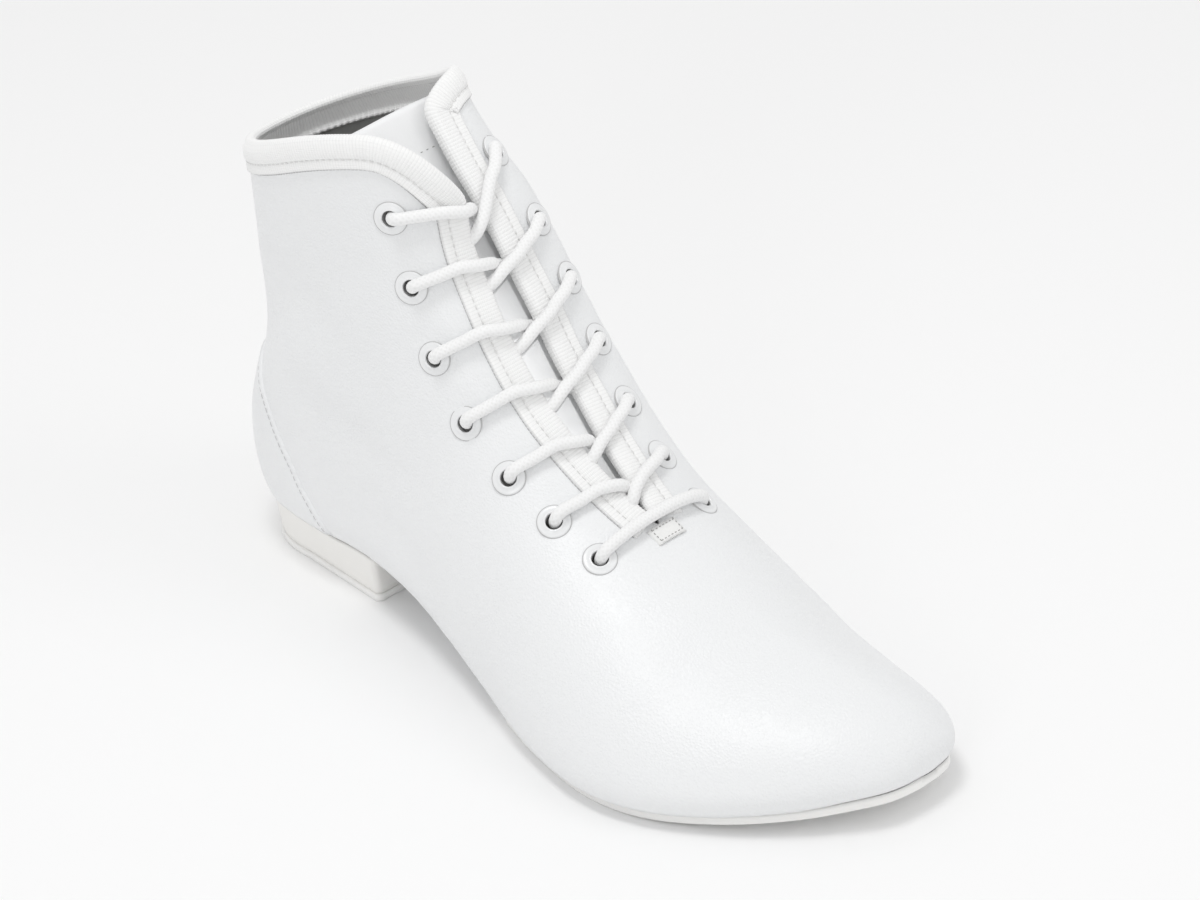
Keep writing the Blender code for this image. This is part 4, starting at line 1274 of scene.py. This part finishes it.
def tube(name, path, radius, material):
    along = unit(np.gradient(path, axis=0))
    normal = unit(np.cross(along[0], [0.3, 0.2, 1.0]))
    ring = 14
    run = running_length(path)
    vertices, uv = [], []
    for k, point in enumerate(path):
        normal = unit(normal - along[k] * (normal @ along[k]))
        other = np.cross(along[k], normal)
        for j in range(ring + 1):
            a = 2 * math.pi * j / ring
            vertices.append(point + (normal * math.cos(a) + other * math.sin(a)) * radius)
            uv.append((run[k], j / ring))
    columns = ring + 1
    faces = strip_faces(len(path), columns)
    faces.append(list(range(ring))[::-1])
    faces.append([(len(path) - 1) * columns + j for j in range(ring)])
    return add_mesh(name, vertices, faces, [material], uv=uv)


def add_lace():
    path = smooth_path(lace_path(), 0.7 * MM)
    lace = tube("lace_braided", path, LACE_RADIUS, CORD)
    turn_outward(lace)
    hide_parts("lace_bar", *[f"lace_crossing_{k}" for k in range(1, 7)])


# Medial seam and insole


def add_medial_seam():
    """The closed seam from between the fourth and fifth medial eyelets down to the arch."""
    start = (EYELETS[(MEDIAL, 4)][0] + EYELETS[(MEDIAL, 5)][0]) / 2
    targets = []
    for t in np.linspace(*MEDIAL_SEAM_REACH, 60):
        x = start[0] + (MEDIAL_SEAM_FOOT[0] - start[0]) * t
        z = start[2] + (MEDIAL_SEAM_FOOT[1] - start[2]) * t
        place, _, _, _ = SURFACE.ray_cast(Vector((x, BALL_WIDTH, z)), Vector((0, -1, 0)))
        targets.append(np.array(place))
    line = line_on_surface(targets, 0.03 * MM)
    stitch_rows("medial_seam_line", [line], 1.5 * MM, 1.5 * MM, 0.13 * MM, SEAM_SHADE)


def add_insole():
    """Smooth sock over the bottom of the inside, from wall to wall."""
    sections = [section_at(float(row)) for row in np.arange(INSOLE_BACK_ROW, -0.05, -0.1)]
    stations = [section.low_x for section in sections]
    columns = 21
    rows = []
    for x in np.linspace(*INSOLE_REACH, 70):
        low = np.interp(x, stations, [section.low_z for section in sections])
        middle = np.interp(x, stations, [section.mid for section in sections])
        top = low + WALL + GAP + INSOLE_THICKNESS
        walls = []
        for side in (LATERAL, MEDIAL):
            place, _, _, _ = SURFACE.ray_cast(Vector((x, middle, top)), Vector((0, side, 0)))
            walls.append(place.y - side * WALL)
        across = np.linspace(*walls, columns)
        rise = np.clip(np.abs(np.linspace(-1, 1, columns)) - 0.8, 0, 1) * 5 * MM
        rows.append(np.stack([np.full(columns, x), across, top + rise], axis=-1))
    up = np.array([0, 0, 1.0])
    sock = thick_sheet("insole_sock", np.array(rows), up, INSOLE_THICKNESS, INSOLE_CLOTH)
    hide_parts("insole")


# Stage

FLOOR_HALF = 3.0
Lamp = namedtuple("Lamp", "name place aim size power")
LAMPS = (
    Lamp("key", (0.0, -0.22, 1.4), (0.03, 0, 0.05), 0.42, 4.6),
    Lamp("instep", (0.8, 0.45, 0.95), (0, 0, 0.08), 0.6, 1.0),
    Lamp("heel", (0.9, -1.9, 0.9), (-0.06, 0, 0.03), 0.8, 3.0),
)
THROAT_LAMP_PLACE = (0.8, -0.46, 0.95)
THROAT_LAMP_AIM = (10.2, 0.6, 0.0)
THROAT_LAMP_POWER = 30
THROAT_LAMP_CONE = math.radians(4.6)


def add_stage():
    mesh = bpy.data.meshes.new("floor")
    corners = [(-1, -1), (1, -1), (1, 1), (-1, 1)]
    mesh.from_pydata([(x * FLOOR_HALF, y * FLOOR_HALF, 0) for x, y in corners], [], [(0, 1, 2, 3)])
    material, _, _ = new_material("pale_floor", (0.93, 0.93, 0.93), 0.7)
    mesh.materials.append(material)
    floor = add_object("floor", mesh)
    world = bpy.data.worlds.new("studio")
    world.use_nodes = True
    sky = world.node_tree.nodes["Background"]
    sky.inputs["Color"].default_value = (1.0, 1.0, 1.0, 1)
    sky.inputs["Strength"].default_value = 0.75
    bpy.context.scene.world = world


def add_light(light, place, target):
    lamp = add_object(light.name, light)
    lamp.location = place
    lamp.rotation_euler = (Vector(target) - Vector(place)).to_track_quat("-Z", "Y").to_euler()
    return lamp


def add_lamps():
    for lamp in LAMPS:
        light = bpy.data.lights.new(lamp.name, "AREA")
        light.shape = "DISK"
        light.size = lamp.size
        light.energy = lamp.power
        add_light(light, lamp.place, lamp.aim)


def add_throat_fill(tongue):
    """Narrow light into the throat from the front. It falls on the tongue only."""
    light = bpy.data.lights.new("throat_fill", "SPOT")
    light.energy = THROAT_LAMP_POWER
    light.spot_size = THROAT_LAMP_CONE
    light.spot_blend = 0.5
    light.shadow_soft_size = 0.025
    lamp = add_light(light, THROAT_LAMP_PLACE, throat_place(*THROAT_LAMP_AIM) + SHIFT)
    lit = bpy.data.collections.new("throat_fill_receivers")
    lit.objects.link(tongue)
    lamp.light_linking.receiver_collection = lit


def add_camera():
    """The photo's camera, turned a little so that the one boot sits in the middle of the frame."""
    aim = (
        -CAMERA_BACK
        + CAMERA_RIGHT * (BOOT_MIDDLE[0] - FRAME_WIDTH / 2) / CAMERA_FOCAL
        + CAMERA_UP * (FRAME_HEIGHT / 2 - BOOT_MIDDLE[1]) / CAMERA_FOCAL
    )
    back = -aim.normalized()
    right = CAMERA_UP.cross(back).normalized()
    up = back.cross(right)
    data = bpy.data.cameras.new("camera")
    data.sensor_width = 36
    data.lens = CAMERA_FOCAL / FRAME_WIDTH * data.sensor_width
    camera = add_object("camera", data)
    turn = Matrix((right, up, back)).transposed().to_4x4()
    camera.matrix_world = Matrix.Translation(CAMERA_PLACE + Vector(SHIFT)) @ turn
    bpy.context.scene.camera = camera


add_camera()
add_upper()
add_counter()
add_sole()
add_heel()
tongue_piece = add_tongue()
add_tab()
add_binding()
add_eyelets()
add_lace()
add_medial_seam()
add_insole()
add_stage()
add_lamps()
add_throat_fill(tongue_piece)
bpy.context.scene.view_settings.view_transform = "Standard"
